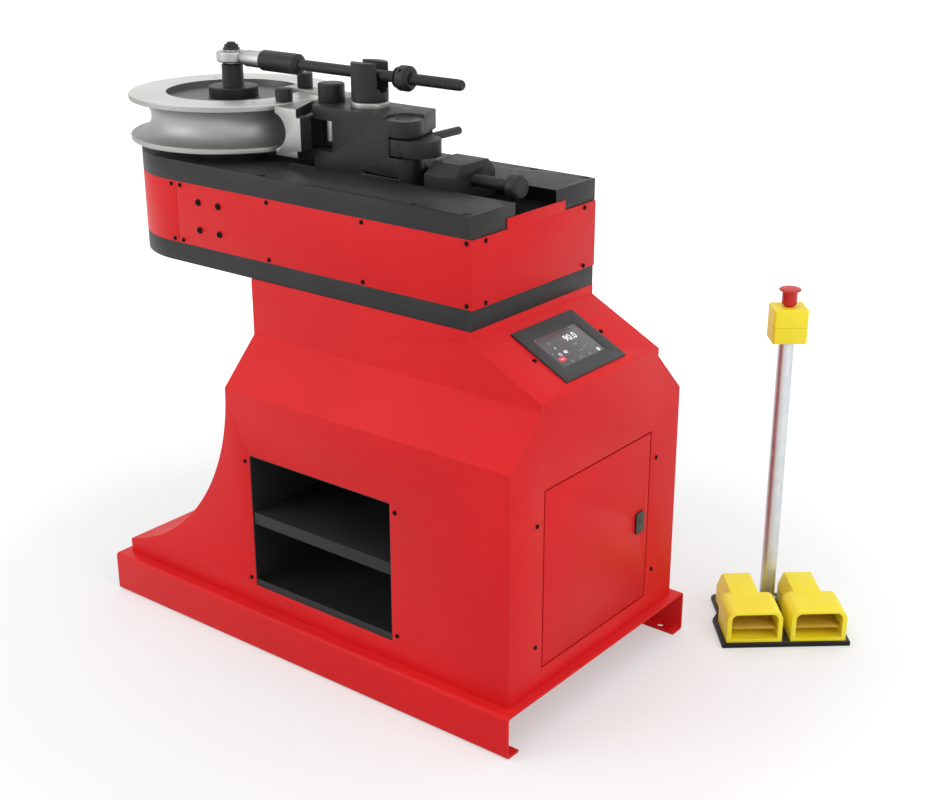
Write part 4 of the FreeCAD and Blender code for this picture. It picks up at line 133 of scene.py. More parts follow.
class Wiring:
    """Adds nodes to one tree and joins them."""

    def __init__(self, tree: bpy.types.NodeTree) -> None:
        """Keeps the tree and empties it."""
        self.tree = tree
        tree.nodes.clear()

    def add(self, kind: str, settings: Optional[dict[str, object]] = None,
            **inputs: object) -> bpy.types.Node:
        """Adds a node.

        Args:
            kind: the node's type, without its ShaderNode in front.
            settings: properties of the node itself.
            **inputs: a value or an output for each named input, blanks as underscores.

        Returns:
            The new node.
        """
        node = self.tree.nodes.new("ShaderNode" + kind)
        for name, value in (settings or {}).items():
            setattr(node, name, value)
        return self.put(node, **inputs)

    def put(self, node: bpy.types.Node, **inputs: object) -> bpy.types.Node:
        """Feeds named inputs of a node, blanks as underscores, and returns the node."""
        for name, value in inputs.items():
            self.feed(node.inputs[name.replace("_", " ")], value)
        return node

    def feed(self, socket: bpy.types.NodeSocket, value: object) -> None:
        """Links an output to a socket, or sets the socket to a plain value."""
        if isinstance(value, bpy.types.NodeSocket):
            self.tree.links.new(value, socket)
        else:
            socket.default_value = value

    def place(self) -> bpy.types.NodeSocket:
        """Returns the place on the piece, in metres."""
        return self.add("TexCoord").outputs["Object"]

    def math(self, operation: str, *values: object, clamp: bool = False) -> bpy.types.NodeSocket:
        """Adds a Math node and returns its output."""
        node = self.add("Math", {"operation": operation, "use_clamp": clamp})
        for socket, value in zip(node.inputs, values):
            self.feed(socket, value)
        return node.outputs[0]

    def product(self, a: object, b: object, clamp: bool = False) -> bpy.types.NodeSocket:
        """Returns two values multiplied."""
        return self.math("MULTIPLY", a, b, clamp=clamp)

    def vector(self, operation: str, *values: object) -> bpy.types.Node:
        """Adds a Vector Math node and returns it."""
        node = self.add("VectorMath", {"operation": operation})
        for socket, value in zip(node.inputs, values):
            self.feed(socket, value)
        return node

    def blend(self, factor: object, a: object, b: object) -> bpy.types.NodeSocket:
        """Adds a colour Mix node and returns its result."""
        node = self.add("Mix", {"data_type": "RGBA"})
        colours = [(*v, 1.0) if isinstance(v, tuple) and len(v) == 3 else v for v in (a, b)]
        for index, value in zip((0, 6, 7), (factor, *colours)):
            self.feed(node.inputs[index], value)
        return node.outputs[2]

    def spread(self, value: object, low: float, high: float, to_low: float,
               to_high: float) -> bpy.types.NodeSocket:
        """Adds a Map Range node from low..high to to_low..to_high and returns its result."""
        node = self.add("MapRange", Value=value, From_Min=low, From_Max=high, To_Min=to_low,
                        To_Max=to_high)
        return node.outputs["Result"]

    def noise(self, vector: object, scale: object, detail: float = 2.0,
              roughness: float = 0.5) -> bpy.types.NodeSocket:
        """Adds a Noise Texture and returns its value."""
        node = self.add("TexNoise", Vector=vector, Scale=scale, Detail=detail,
                        Roughness=roughness)
        return node.outputs[0]


class Effects:
    """The shader groups that several finishes share, each built the first time it is asked for."""

    @staticmethod
    def _group(name: str, outputs: Sequence[str], **inputs: Optional[float]) -> tuple[
            Wiring, bpy.types.bpy_prop_collection, bpy.types.Node]:
        """Starts a group with its sockets.

        Args:
            name: the group's name.
            outputs: the names of its outputs, all plain numbers.
            **inputs: the first value of each input, or None for one that takes a vector.

        Returns:
            The wiring of the group, what comes in and the node that puts out.
        """
        tree = bpy.data.node_groups.new(name, "ShaderNodeTree")
        for label, value in inputs.items():
            kind = "NodeSocketVector" if value is None else "NodeSocketFloat"
            socket = tree.interface.new_socket(label, in_out="INPUT", socket_type=kind)
            if value is not None:
                socket.default_value = value
        for label in outputs:
            tree.interface.new_socket(label, in_out="OUTPUT", socket_type="NodeSocketFloat")
        w = Wiring(tree)
        source = tree.nodes.new("NodeGroupInput")
        return w, source.outputs, tree.nodes.new("NodeGroupOutput")

    @staticmethod
    @cache
    def edge_wear() -> bpy.types.NodeTree:
        """Builds the group that marks rubbed corners.

        Returns:
            A group with the inputs Radius, Amount and Breakup and the output Mask.
        """
        w, given, sink = Effects._group("edge wear", ["Mask"], Radius=0.002, Amount=0.5,
                                        Breakup=60.0)
        rounded = w.add("Bevel", {"samples": 4}, Radius=given["Radius"])
        plain = w.add("NewGeometry")
        same = w.vector("DOT_PRODUCT", rounded.outputs[0], plain.outputs["Normal"])
        bent = w.product(w.math("SUBTRACT", 1.0, same.outputs["Value"]), 7.0, clamp=True)
        patchy = w.noise(w.place(), given["Breakup"], 4.0, 0.65)
        strength = w.product(bent, w.spread(patchy, 0.42, 0.62, 0.0, 1.0))
        w.put(sink, Mask=w.product(strength, given["Amount"], clamp=True))
        return w.tree

    @staticmethod
    @cache
    def mottle() -> bpy.types.NodeTree:
        """Builds the group of slow and fine variation.

        Returns:
            A group with the inputs Coarse and Fine, in features to a metre, and the outputs
            Slow and Quick, each from 0 to 1.
        """
        w, given, sink = Effects._group("mottle", ["Slow", "Quick"], Coarse=5.0, Fine=120.0)
        place = w.place()
        slow = w.noise(place, given["Coarse"], 3.0, 0.55)
        quick = w.noise(place, given["Fine"], 4.0, 0.6)
        w.put(sink, Slow=w.spread(slow, 0.3, 0.7, 0.0, 1.0),
              Quick=w.spread(quick, 0.3, 0.7, 0.0, 1.0))
        return w.tree

    @staticmethod
    @cache
    def turning_marks() -> bpy.types.NodeTree:
        """Builds the group of fine rings that a lathe leaves.

        Returns:
            A group with the inputs Vector, with its third axis along the lathe, and Pitch, in
            rings to a metre, and the output Rings, from 0 to 1.
        """
        w, given, sink = Effects._group("turning marks", ["Rings"], Vector=None, Pitch=900.0)
        x, y, height = w.add("SeparateXYZ", Vector=given["Vector"]).outputs
        radius = w.math("SQRT", w.math("ADD", w.product(x, x), w.product(y, y)))
        where = w.add("CombineXYZ", X=w.product(radius, given["Pitch"]),
                      Y=w.product(height, given["Pitch"]), Z=0.0)
        rings = w.noise(where.outputs[0], 1.0, 3.0, 0.6)
        w.put(sink, Rings=w.spread(rings, 0.25, 0.75, 0.0, 1.0))
        return w.tree

    @staticmethod
    @cache
    def brushed() -> bpy.types.NodeTree:
        """Builds the group of straight grinding or milling lines.

        Returns:
            A group with the inputs Vector, with its first axis along the lines, and Pitch, in
            lines to a metre, and the output Lines, from 0 to 1.
        """
        w, given, sink = Effects._group("brushed", ["Lines"], Vector=None, Pitch=500.0)
        stretched = w.vector("MULTIPLY", given["Vector"], (0.02, 1.0, 1.0))
        lines = w.noise(stretched.outputs[0], given["Pitch"], 3.0, 0.7)
        w.put(sink, Lines=w.spread(lines, 0.3, 0.7, 0.0, 1.0))
        return w.tree

    @staticmethod
    @cache
    def orange_peel() -> bpy.types.NodeTree:
        """Builds the group of the soft relief of powder coat and moulded skin.

        Returns:
            A group with the input Pitch, in bumps to a metre, and the output Height.
        """
        w, given, sink = Effects._group("orange peel", ["Height"], Pitch=450.0)
        w.put(sink, Height=w.noise(w.place(), given["Pitch"], 2.0, 0.4))
        return w.tree

    @staticmethod
    @cache
    def settled_dust() -> bpy.types.NodeTree:
        """Builds the group of a thin film of dust on what faces up.

        Returns:
            A group with the input Amount and the output Mask.
        """
        w, given, sink = Effects._group("settled dust", ["Mask"], Amount=0.1)
        up = w.add("SeparateXYZ", Vector=w.add("NewGeometry").outputs["Normal"]).outputs[2]
        facing = w.spread(up, 0.75, 1.0, 0.0, 1.0)
        patchy = w.spread(w.noise(w.place(), 9.0, 5.0, 0.6), 0.35, 0.75, 0.2, 1.0)
        w.put(sink, Mask=w.product(w.product(facing, patchy), given["Amount"]))
        return w.tree


@dataclass(frozen=True)
class Finish:
    """A surface finish, which makes its material the first time it is asked for."""

    name: str
    colour: Colour
    roughness: float = 0.45

    def material(self) -> bpy.types.Material:
        """Finds or builds the material.

        Returns:
            The material that carries this finish's name.
        """
        found = bpy.data.materials.get("finish_" + self.name)
        if found is not None:
            return found
        made = bpy.data.materials.new("finish_" + self.name)
        made.use_nodes = True
        made.diffuse_color = (*self.colour, 1.0)
        w = Wiring(made.node_tree)
        shader = w.add("BsdfPrincipled")
        output = w.add("OutputMaterial")
        w.feed(output.inputs["Surface"], shader.outputs[0])
        self.dress(w, shader)
        return made

    def dress(self, w: Wiring, shader: bpy.types.Node) -> None:
        """Sets the shader; each kind of finish has its own."""
        raise NotImplementedError

    def darker(self, share: float) -> Colour:
        """Returns this finish's colour, a share of the way to black."""
        return mixed(self.colour, BLACK, share)

    def lighter(self, share: float) -> Colour:
        """Returns this finish's colour, a share of the way to white."""
        return mixed(self.colour, WHITE, share)

    def around(self, w: Wiring, value: bpy.types.NodeSocket, under: float,
               over: float) -> bpy.types.NodeSocket:
        """Returns a roughness that a value from 0 to 1 moves round this finish's own.

        Args:
            w: the wiring of the material.
            value: the value.
            under: how far the roughness lies under the finish's where the value is 0.
            over: how far it lies over it where the value is 1.

        Returns:
            The roughness.
        """
        return w.spread(value, 0.0, 1.0, self.roughness - under, self.roughness + over)

    def group(self, w: Wiring, tree: bpy.types.NodeTree, **inputs: object) -> bpy.types.Node:
        """Places a shared effect in this finish's material with its own values."""
        node = w.add("Group")
        node.node_tree = tree
        return w.put(node, **inputs)

    def rubbed(self, w: Wiring, base: bpy.types.NodeSocket, bare: Colour,
               **wear: float) -> bpy.types.NodeSocket:
        """Shows a bare tone where corners are rubbed, and returns the colour."""
        worn = self.group(w, Effects.edge_wear(), **wear)
        return w.blend(worn.outputs["Mask"], base, bare)

    def bump(self, w: Wiring, shader: bpy.types.Node, height: bpy.types.NodeSocket,
             strength: float, depth_mm: float) -> None:
        """Feeds a height through a Bump node to the shader's normal."""
        node = w.add("Bump", Height=height, Strength=strength, Distance=depth_mm * MM)
        w.put(shader, Normal=node.outputs[0])


@dataclass(frozen=True)
class PowderCoat(Finish):
    """Powder coat on sheet: soft relief, slow shifts of colour, rubbed corners."""

    wear: float = 0.35
    peel: float = 420.0
    dust: float = 0.02
    coat: float = 0.0
    specular: float = 0.22
    primer: Colour = rgb("#C9C4C0")
    dust_tone: Colour = rgb("#B8AFA8")

    def dress(self, w: Wiring, shader: bpy.types.Node) -> None:
        """Sets the shader of a powder-coated surface.

        Args:
            w: the wiring of the material.
            shader: its Principled shader.
        """
        mottle = self.group(w, Effects.mottle(), Coarse=3.0, Fine=150.0)
        base = w.blend(mottle.outputs["Slow"], self.darker(0.10), self.colour)
        base = self.rubbed(w, base, mixed(self.colour, self.primer, 0.25), Radius=0.0016,
                           Amount=self.wear, Breakup=45.0)
        dust = self.group(w, Effects.settled_dust(), Amount=self.dust).outputs["Mask"]
        rough = w.math("ADD", self.around(w, mottle.outputs["Quick"], 0.05, 0.06),
                       w.product(dust, 0.8), clamp=True)
        w.put(shader, Base_Color=w.blend(dust, base, self.dust_tone), Roughness=rough,
              Specular_IOR_Level=self.specular, Coat_Weight=self.coat, Coat_Roughness=0.25)
        peel = self.group(w, Effects.orange_peel(), Pitch=self.peel)
        self.bump(w, shader, peel.outputs["Height"], 0.10, 0.25)


@dataclass(frozen=True)
class MilledMetal(Finish):
    """Flat machined metal, bright or blacked: cutter lines, oil spots, bright corners."""

    metallic: float = 0.0
    lines: float = 420.0
    line_depth: float = 0.35
    wear: float = 0.4
    shine: Colour = (0.30, 0.30, 0.31)
    turn: Triple = (0.0, 0.0, 0.0)
    specular: float = 0.5

    def dress(self, w: Wiring, shader: bpy.types.Node) -> None:
        """Sets the shader of a milled surface.

        Args:
            w: the wiring of the material.
            shader: its Principled shader.
        """
        place = w.add("Mapping", Vector=w.place(), Rotation=self.turn)
        cuts = self.group(w, Effects.brushed(), Vector=place.outputs[0], Pitch=self.lines)
        lines = cuts.outputs["Lines"]
        mottle = self.group(w, Effects.mottle(), Coarse=6.0, Fine=60.0)
        base = w.blend(mottle.outputs["Slow"], self.darker(0.16),
                       mixed(self.colour, self.shine, 0.03))
        base = w.blend(w.product(lines, 0.22), base, mixed(self.colour, self.shine, 0.16))
        base = self.rubbed(w, base, self.shine, Radius=0.0014, Amount=self.wear, Breakup=80.0)
        rough = w.math("ADD", w.spread(mottle.outputs["Quick"], 0.0, 1.0, -0.05, 0.05),
                       self.around(w, lines, 0.05, 0.05), clamp=True)
        w.put(shader, Base_Color=base, Roughness=rough, Metallic=self.metallic,
              Specular_IOR_Level=self.specular)
        self.bump(w, shader, lines, self.line_depth, 0.04)


@dataclass(frozen=True)
class TurnedMetal(Finish):
    """Metal from the lathe, bright or blacked: fine rings round its axis, bright corners."""

    metallic: float = 0.9
    centre: Triple = (0.0, 0.0, 0.0)
    axis: Axis = Axis.UPRIGHT
    pitch: float = 900.0
    depth: float = 0.4
    wear: float = 0.3
    shine: Colour = (0.75, 0.75, 0.74)
    tint: float = 0.12
    specular: float = 0.5

    def dress(self, w: Wiring, shader: bpy.types.Node) -> None:
        """Sets the shader of a turned surface.

        Args:
            w: the wiring of the material.
            shader: its Principled shader.
        """
        turn = (0.0, -math.pi / 2, 0.0) if self.axis is Axis.ALONG_X else (0.0, 0.0, 0.0)
        moved = w.vector("SUBTRACT", w.place(), tuple(v * MM for v in self.centre))
        place = w.add("Mapping", Vector=moved.outputs[0], Rotation=turn)
        marks = self.group(w, Effects.turning_marks(), Vector=place.outputs[0], Pitch=self.pitch)
        rings = marks.outputs["Rings"]
        mottle = self.group(w, Effects.mottle(), Coarse=7.0, Fine=90.0)
        low = self.darker(self.tint)
        base = w.blend(mottle.outputs["Slow"], low, self.colour)
        base = w.blend(w.product(rings, 0.25), base, low)
        base = self.rubbed(w, base, self.shine, Radius=0.0012, Amount=self.wear, Breakup=90.0)
        rough = w.math("ADD", w.spread(mottle.outputs["Quick"], 0.0, 1.0, -0.03, 0.05),
                       self.around(w, rings, 0.04, 0.06), clamp=True)
        w.put(shader, Base_Color=base, Roughness=rough, Metallic=self.metallic,
              Specular_IOR_Level=self.specular)
        self.bump(w, shader, rings, self.depth, 0.03)


@dataclass(frozen=True)
class Moulded(Finish):
    """Moulded plastic or rubber: fine grain, faint flow marks, scuffs on the corners."""

    grain: float = 1400.0
    grain_depth: float = 0.12
    wear: float = 0.25
    scatter: float = 0.0
    specular: float = 0.5

    def dress(self, w: Wiring, shader: bpy.types.Node) -> None:
        """Sets the shader of a moulded surface.

        Args:
            w: the wiring of the material.
            shader: its Principled shader.
        """
        mottle = self.group(w, Effects.mottle(), Coarse=9.0, Fine=220.0)
        base = w.blend(mottle.outputs["Slow"], self.darker(0.04), self.lighter(0.03))
        base = self.rubbed(w, base, self.lighter(0.18), Radius=0.0015, Amount=self.wear,
                           Breakup=110.0)
        rough = self.around(w, mottle.outputs["Quick"], 0.04, 0.07)
        w.put(shader, Base_Color=base, Roughness=rough, Specular_IOR_Level=self.specular,
              Subsurface_Weight=self.scatter, Subsurface_Scale=0.004)
        peel = self.group(w, Effects.orange_peel(), Pitch=self.grain)
        self.bump(w, shader, peel.outputs["Height"], self.grain_depth, 0.12)


@dataclass(frozen=True)
class ZincPlate(Finish):
    """Zinc on sheet or tube: faint crystals, cool shifts of tone."""

    metallic: float = 0.85
    spangle: float = 70.0
    bloom: Colour = (0.62, 0.66, 0.7)

    def dress(self, w: Wiring, shader: bpy.types.Node) -> None:
        """Sets the shader of a zinc-plated surface.

        Args:
            w: the wiring of the material.
            shader: its Principled shader.
        """
        cells = w.add("TexVoronoi", Vector=w.place(), Scale=self.spangle)
        tone = w.add("SeparateColor", Color=cells.outputs["Color"]).outputs[0]
        base = w.blend(tone, self.darker(0.12), self.colour)
        mottle = self.group(w, Effects.mottle(), Coarse=12.0, Fine=200.0)
        slow, quick = mottle.outputs["Slow"], mottle.outputs["Quick"]
        rough = w.math("ADD", self.around(w, tone, 0.05, 0.0),
                       w.spread(quick, 0.0, 1.0, 0.0, 0.06))
        w.put(shader, Base_Color=w.blend(w.product(slow, 0.25), base, self.bloom),
              Roughness=rough, Metallic=self.metallic)
        self.bump(w, shader, quick, 0.08, 0.03)


@dataclass(frozen=True)
class DarkGlass(Finish):
    """The glossy face of the display, with a faint lit haze and fingerprints."""

    haze: Colour = (0.075, 0.072, 0.075)

    def dress(self, w: Wiring, shader: bpy.types.Node) -> None:
        """Sets the shader of the display's glass.

        Args:
            w: the wiring of the material.
            shader: its Principled shader.
        """
        mottle = self.group(w, Effects.mottle(), Coarse=25.0, Fine=160.0)
        base = w.blend(mottle.outputs["Slow"], self.colour, self.haze)
        rough = self.around(w, mottle.outputs["Quick"], 0.0, 0.12)
        w.put(shader, Base_Color=base, Roughness=rough, Emission_Color=base,
              Emission_Strength=0.5, Specular_IOR_Level=0.3, Coat_Weight=0.2,
              Coat_Roughness=0.1)
        self.bump(w, shader, mottle.outputs["Quick"], 0.02, 0.02)


@dataclass(frozen=True)
class LitPrint(Finish):
    """A lit sign on the display, with the faint grid of its pixels."""

    glow: float = 0.6
    pixels: float = 1500.0

    def dress(self, w: Wiring, shader: bpy.types.Node) -> None:
        """Sets the shader of a lit sign.

        Args:
            w: the wiring of the material.
            shader: its Principled shader.
        """
        grid = w.add("TexChecker", Vector=w.place(), Scale=self.pixels).outputs["Fac"]
        tone = w.blend(grid, self.darker(0.12), self.colour)
        w.put(shader, Base_Color=tone, Emission_Color=tone, Emission_Strength=self.glow,
              Roughness=self.around(w, grid, 0.0, 0.05))


SPINDLE_X = -510.0
PIN_X = -165.0
TIE_ROD_HEIGHT = 1420.0
SCREW_HEIGHT = 1208.0
SPINDLE_CENTRE: Triple = (SPINDLE_X, 0.0, 0.0)
TIE_ROD_CENTRE: Triple = (0.0, 0.0, TIE_ROD_HEIGHT)
SCREW_CENTRE: Triple = (0.0, 0.0, SCREW_HEIGHT)
WORN_BLACK: Colour = (0.22, 0.22, 0.23)

RED = PowderCoat("red_coat", rgb("#DE1C20"), 0.46, specular=0.20, wear=0.25)
SHELF_BLACK = PowderCoat("black_shelf_coat", rgb("#2A2A2B"), 0.42, wear=0.25, specular=0.2)
SHELF_LIP = PowderCoat("grey_shelf_coat", rgb("#2C2C2D"), 0.50, wear=0.3)
BEZEL = PowderCoat("anthracite_frame", rgb("#38393A"), 0.45, wear=0.2, specular=0.3)
FOOT_PLATE = PowderCoat("black_foot_coat", rgb("#17181A"), 0.5, wear=0.3, dust=0.12)
DARK_PLATE = MilledMetal("dark_machined_plate", rgb("#232324"), 0.48, metallic=0.1,
                         specular=0.26)
DARK_BLOCK = MilledMetal("dark_machined_block", rgb("#212122"), 0.46, metallic=0.1,
                         turn=(0.0, 0.0, 0.35), specular=0.24)
SCRAPED_BLOCK = MilledMetal("scraped_machined_pocket", rgb("#4A4A4B"), 0.46, metallic=0.1,
                            turn=(0.0, 0.0, 0.35), specular=0.35)
# Near-black finish for the head's channel: painted shade deep in the channel, standing in for
# shade rather than oil.
CHANNEL_SHADE_BLACK = MilledMetal("channel_painted_shade_black", rgb("#060607"), 0.70,
                            shine=(0.03, 0.03, 0.03), wear=0.1, specular=0.03)
BLACKED = TurnedMetal("blacked_steel", rgb("#262627"), 0.42, metallic=0.15,
                      centre=SPINDLE_CENTRE, wear=0.35, shine=WORN_BLACK, specular=0.3)
BLACKED_ROD = TurnedMetal("blacked_rod", rgb("#252526"), 0.42, metallic=0.15,
                          centre=TIE_ROD_CENTRE, axis=Axis.ALONG_X, wear=0.35,
                          shine=WORN_BLACK, specular=0.3)
BLACKED_SCREW = TurnedMetal("blacked_feed_screw", rgb("#262627"), 0.42, metallic=0.15,
                            centre=SCREW_CENTRE, axis=Axis.ALONG_X, wear=0.35,
                            shine=WORN_BLACK, specular=0.3)
DIE_STEEL = TurnedMetal("turned_die_steel", rgb("#D6D6D4"), 0.38, metallic=1.0,
                        centre=SPINDLE_CENTRE, pitch=700.0)
# Darker steel for the die's groove and its rims: painted shade in the groove.
GROOVE_SHADE_STEEL = TurnedMetal("groove_steel_painted_shade", rgb("#AAAAA8"), 0.50, metallic=1.0,
                           centre=SPINDLE_CENTRE, pitch=700.0, depth=0.3)
# Much darker steel for the die's pocket: painted shade on the pocket's floor and wall.
POCKET_SHADE_STEEL = TurnedMetal("turned_pocket_steel_painted_shade", rgb("#656564"), 0.42, metallic=0.7,
                           centre=SPINDLE_CENTRE, pitch=500.0, shine=(0.45, 0.45, 0.44))
GROUND_STEEL = MilledMetal("ground_steel", rgb("#A4A4A1"), 0.40, metallic=0.9, lines=700.0,
                           wear=0.15, shine=(0.70, 0.70, 0.69), turn=(0.0, 0.0, math.pi / 2))
EYE_STEEL = TurnedMetal("bright_eye_steel", rgb("#B8B8B6"), 0.42, metallic=1.0,
                        centre=SPINDLE_CENTRE, pitch=1100.0)
PIN_STEEL = TurnedMetal("ground_pin_steel", rgb("#D2D2CE"), 0.32, metallic=0.85,
                        centre=(PIN_X, 0.0, 0.0))
BEARING_STEEL = TurnedMetal("ground_bearing_steel", rgb("#C9CBCD"), 0.18, metallic=1.0,
                            centre=SPINDLE_CENTRE, pitch=1500.0, depth=0.15)
GEAR_STEEL = TurnedMetal("oiled_gear_steel", rgb("#8E8F92"), 0.30, metallic=0.95,
                         centre=SPINDLE_CENTRE, tint=0.3)
LATCH_STEEL = MilledMetal("latch_steel", rgb("#B9BABC"), 0.32, metallic=0.9, lines=900.0,
                          shine=(0.85, 0.85, 0.85))
SCREW_BLACK = TurnedMetal("black_screw", rgb("#080809"), 0.50, metallic=0.0, pitch=2500.0,
                          wear=0.10, shine=(0.06, 0.06, 0.06), specular=0.12)
LOCK_STEEL = MilledMetal("dulled_lock_steel", rgb("#4C4C4E"), 0.45, metallic=0.6, lines=900.0)
LOCK_BLACK = Moulded("black_lock_zamak", rgb("#18181A"), 0.38, wear=0.3)
ENAMEL = PowderCoat("blue_grey_enamel", rgb("#3C5A78"), 0.35, wear=0.3, peel=160.0, coat=0.3)
GALVANISED = ZincPlate("galvanised_sheet", rgb("#A9ADB0"), 0.38)
COLUMN_ZINC = ZincPlate("column_zinc", rgb("#CFD1D2"), 0.40, spangle=35.0)
YELLOW = Moulded("yellow_moulding", rgb("#FFEC16"), 0.45, wear=0.2, scatter=0.04)
BUTTON_RED = Moulded("red_moulding", rgb("#C8120E"), 0.36, wear=0.2, specular=0.3)
# Treadle rubber, its yellow darkened to ochre as painted shade under the hoods.
TREAD_RUBBER_SHADED = Moulded("tread_rubber_painted_shade", rgb("#C8A018"), 0.72, grain=700.0,
                       grain_depth=0.3, wear=0.3)
INVERTER_GREY = Moulded("grey_housing", rgb("#5B6066"), 0.5)
CONTACTOR_GREY = Moulded("light_grey_moulding", rgb("#D8D6CE"), 0.45)
TERMINAL_BLACK = Moulded("black_terminal", rgb("#222326"), 0.5)
GLASS = DarkGlass("display_glass", (0.066, 0.067, 0.069), 0.20)
PRINT_WHITE = LitPrint("display_white", rgb("#F4F6F6"), 0.3)
PRINT_GREY = LitPrint("display_grey", rgb("#8D9294"), 0.3, glow=0.35)
PRINT_RED = LitPrint("display_red", rgb("#D83848"), 0.3, glow=0.40)


# ---------------------------------------------------------------------------------------------
# The modelling bench


def softened(points: Sequence[Point], radius: float) -> list[Point]:
    """Rounds the inner corners of a profile, each with three new edges.

    Args:
        points: the corners of the profile, in order.
        radius: how far each rounding starts from its corner at most.

    Returns:
        The profile with its two ends and its nearly straight corners as they were.
    """
    edges, straight, longest = 3, math.radians(155), 0.4
    result = [points[0]]
    for before, corner, after in zip(points, points[1:], points[2:]):
        c = Vector(corner)
        to_a, to_b = Vector(before) - c, Vector(after) - c
        if to_a.length < 1e-9 or to_b.length < 1e-9 or to_a.angle(to_b) > straight:
            result.append(corner)
            continue
        reach = min(radius, longest * to_a.length, longest * to_b.length)
        a, b = c + to_a.normalized() * reach, c + to_b.normalized() * reach
        for i in range(edges + 1):
            t = i / edges
            p = a * (1 - t) ** 2 + c * 2 * t * (1 - t) + b * t ** 2
            result.append((p.x, p.y))
    result.append(points[-1])
    return result


def arc(centre: Point, radius: float, start: float, end: float, steps: int) -> list[Point]:
    """Gives points on an arc.

    Args:
        centre: the centre of the arc.
        radius: its radius.
        start: its first angle in degrees.
        end: its last angle in degrees.
        steps: the number of edges.

    Returns:
        The points, both ends included.
    """
    angles = [math.radians(start + (end - start) * i / steps) for i in range(steps + 1)]
    return [(centre[0] + radius * math.cos(a), centre[1] + radius * math.sin(a)) for a in angles]


class Workpiece:
    """One mesh on the bench, shaped with Blender's own tools. All sizes are in millimetres."""

    def __init__(self, obj: bpy.types.Object) -> None:
        """Takes an object and bakes its place into its mesh."""
        self.obj = obj
        obj.data.transform(obj.matrix_world)
        obj.matrix_world = Matrix.Identity(4)

    @staticmethod
    def clear() -> None:
        """Leaves edit mode and deselects everything."""
        if bpy.context.object is not None and bpy.context.object.mode != "OBJECT":
            bpy.ops.object.mode_set(mode="OBJECT")
        bpy.ops.object.select_all(action="DESELECT")

    @classmethod
    def started(cls, name: str) -> "Workpiece":
        """Takes up the primitive that was just added and names it."""
        return cls(bpy.context.object).named(name)

    def named(self, name: str) -> "Workpiece":
        """Names the object and its mesh."""
        self.obj.name = self.obj.data.name = name
        return self

    @classmethod
    def block(cls, name: str, low: Triple, high: Triple) -> "Workpiece":
        """Starts a block between two corners.

        Args:
            name: the object's name.
            low: its lowest corner.
            high: its highest corner.

        Returns:
            The new workpiece.
        """
        cls.clear()
        middle = [(a + b) / 2 * MM for a, b in zip(low, high)]
        size = [(b - a) * MM for a, b in zip(low, high)]
        bpy.ops.mesh.primitive_cube_add(size=1, location=middle, scale=size)
        return cls.started(name)

    @classmethod
    def bar(cls, name: str, radius: float, start: Triple, end: Triple,
            sides: int = 32) -> "Workpiece":
        """Starts a round or many-sided bar between two points.

        Args:
            name: the object's name.
            radius: the radius of its corners.
            start: one end of its axis.
            end: the other end.
            sides: the number of its sides.

        Returns:
            The new workpiece.
        """
        cls.clear()
        a, b = Vector(start) * MM, Vector(end) * MM
        turn = Vector((0, 0, 1)).rotation_difference(b - a).to_euler()
        bpy.ops.mesh.primitive_cylinder_add(vertices=sides, radius=radius * MM,
                                            depth=(b - a).length, location=(a + b) / 2,
                                            rotation=turn)
        return cls.started(name)

    @classmethod
    def turned(cls, name: str, profile: Sequence[Point], rounding: float, steps: int,
               centre: Triple = (0, 0, 0), axis: Axis = Axis.UPRIGHT) -> "Workpiece":
        """Spins a profile round an axis.

        Args:
            name: the object's name.
            profile: radius and height of each corner; the last one closes onto the first where
                the two are the same.
            rounding: how far the rounding of a corner starts from it at most.
            steps: the number of steps in the turn.
            centre: a point on the axis, from which the heights count.
            axis: the direction of the axis.

        Returns:
            The new workpiece.
        """
        cls.clear()
        bpy.ops.mesh.primitive_plane_add(size=0.001)
        piece = cls.started(name)
        bpy.ops.object.mode_set(mode="EDIT")
        bpy.ops.mesh.select_mode(type="VERT")
        bpy.ops.mesh.select_all(action="SELECT")
        bpy.ops.mesh.merge(type="CENTER")
        last = (0.0, 0.0)
        for i, point in enumerate(softened(profile, rounding) if rounding else profile):
            step = ((point[0] - last[0]) * MM, 0.0, (point[1] - last[1]) * MM)
            last = point
            if i == 0:
                bpy.ops.transform.translate(value=step)
            else:
                bpy.ops.mesh.extrude_region_move(TRANSFORM_OT_translate={"value": step})
        bpy.ops.mesh.select_all(action="SELECT")
        bpy.ops.mesh.spin(steps=steps, angle=TURN, center=(0, 0, 0), axis=(0, 0, 1))
        bpy.ops.mesh.select_all(action="SELECT")
        bpy.ops.mesh.remove_doubles(threshold=1e-6)
        bpy.ops.mesh.normals_make_consistent(inside=False)
        turn = Matrix.Rotation(math.pi / 2, 4, "Y") if axis is Axis.ALONG_X else Matrix()
        return piece.done().place(Matrix.Translation(Vector(centre) * MM) @ turn)

    @classmethod
    def copy_of(cls, node: str, name: str) -> "Workpiece":
        """Starts from a merged copy of a node of the model.

        Args:
            node: the node.
            name: the new object's name.

        Returns:
            The new workpiece, with its flat faces in one piece.
        """
        cls.clear()
        mesh = bpy.data.objects[node].data.copy()
        mesh.name = name
        mesh.materials.clear()
        obj = bpy.data.objects.new(name, mesh)
        bpy.context.scene.collection.objects.link(obj)
        piece = cls(obj)
        piece.hold()
        if mesh.has_custom_normals:
            bpy.ops.mesh.customdata_custom_splitnormals_clear()
        bpy.ops.object.mode_set(mode="EDIT")
        bpy.ops.mesh.select_all(action="SELECT")
        bpy.ops.mesh.remove_doubles(threshold=2e-6)
        bpy.ops.mesh.dissolve_limited(angle_limit=math.radians(0.3))
        return piece.done()

    def hold(self) -> None:
        """Makes this piece the only selected and the active one."""
        self.clear()
        bpy.context.view_layer.objects.active = self.obj
        self.obj.select_set(True)

    def place(self, matrix: Matrix) -> "Workpiece":
        """Moves the mesh, while the object stays at the origin."""
        self.obj.data.transform(matrix)
        return self

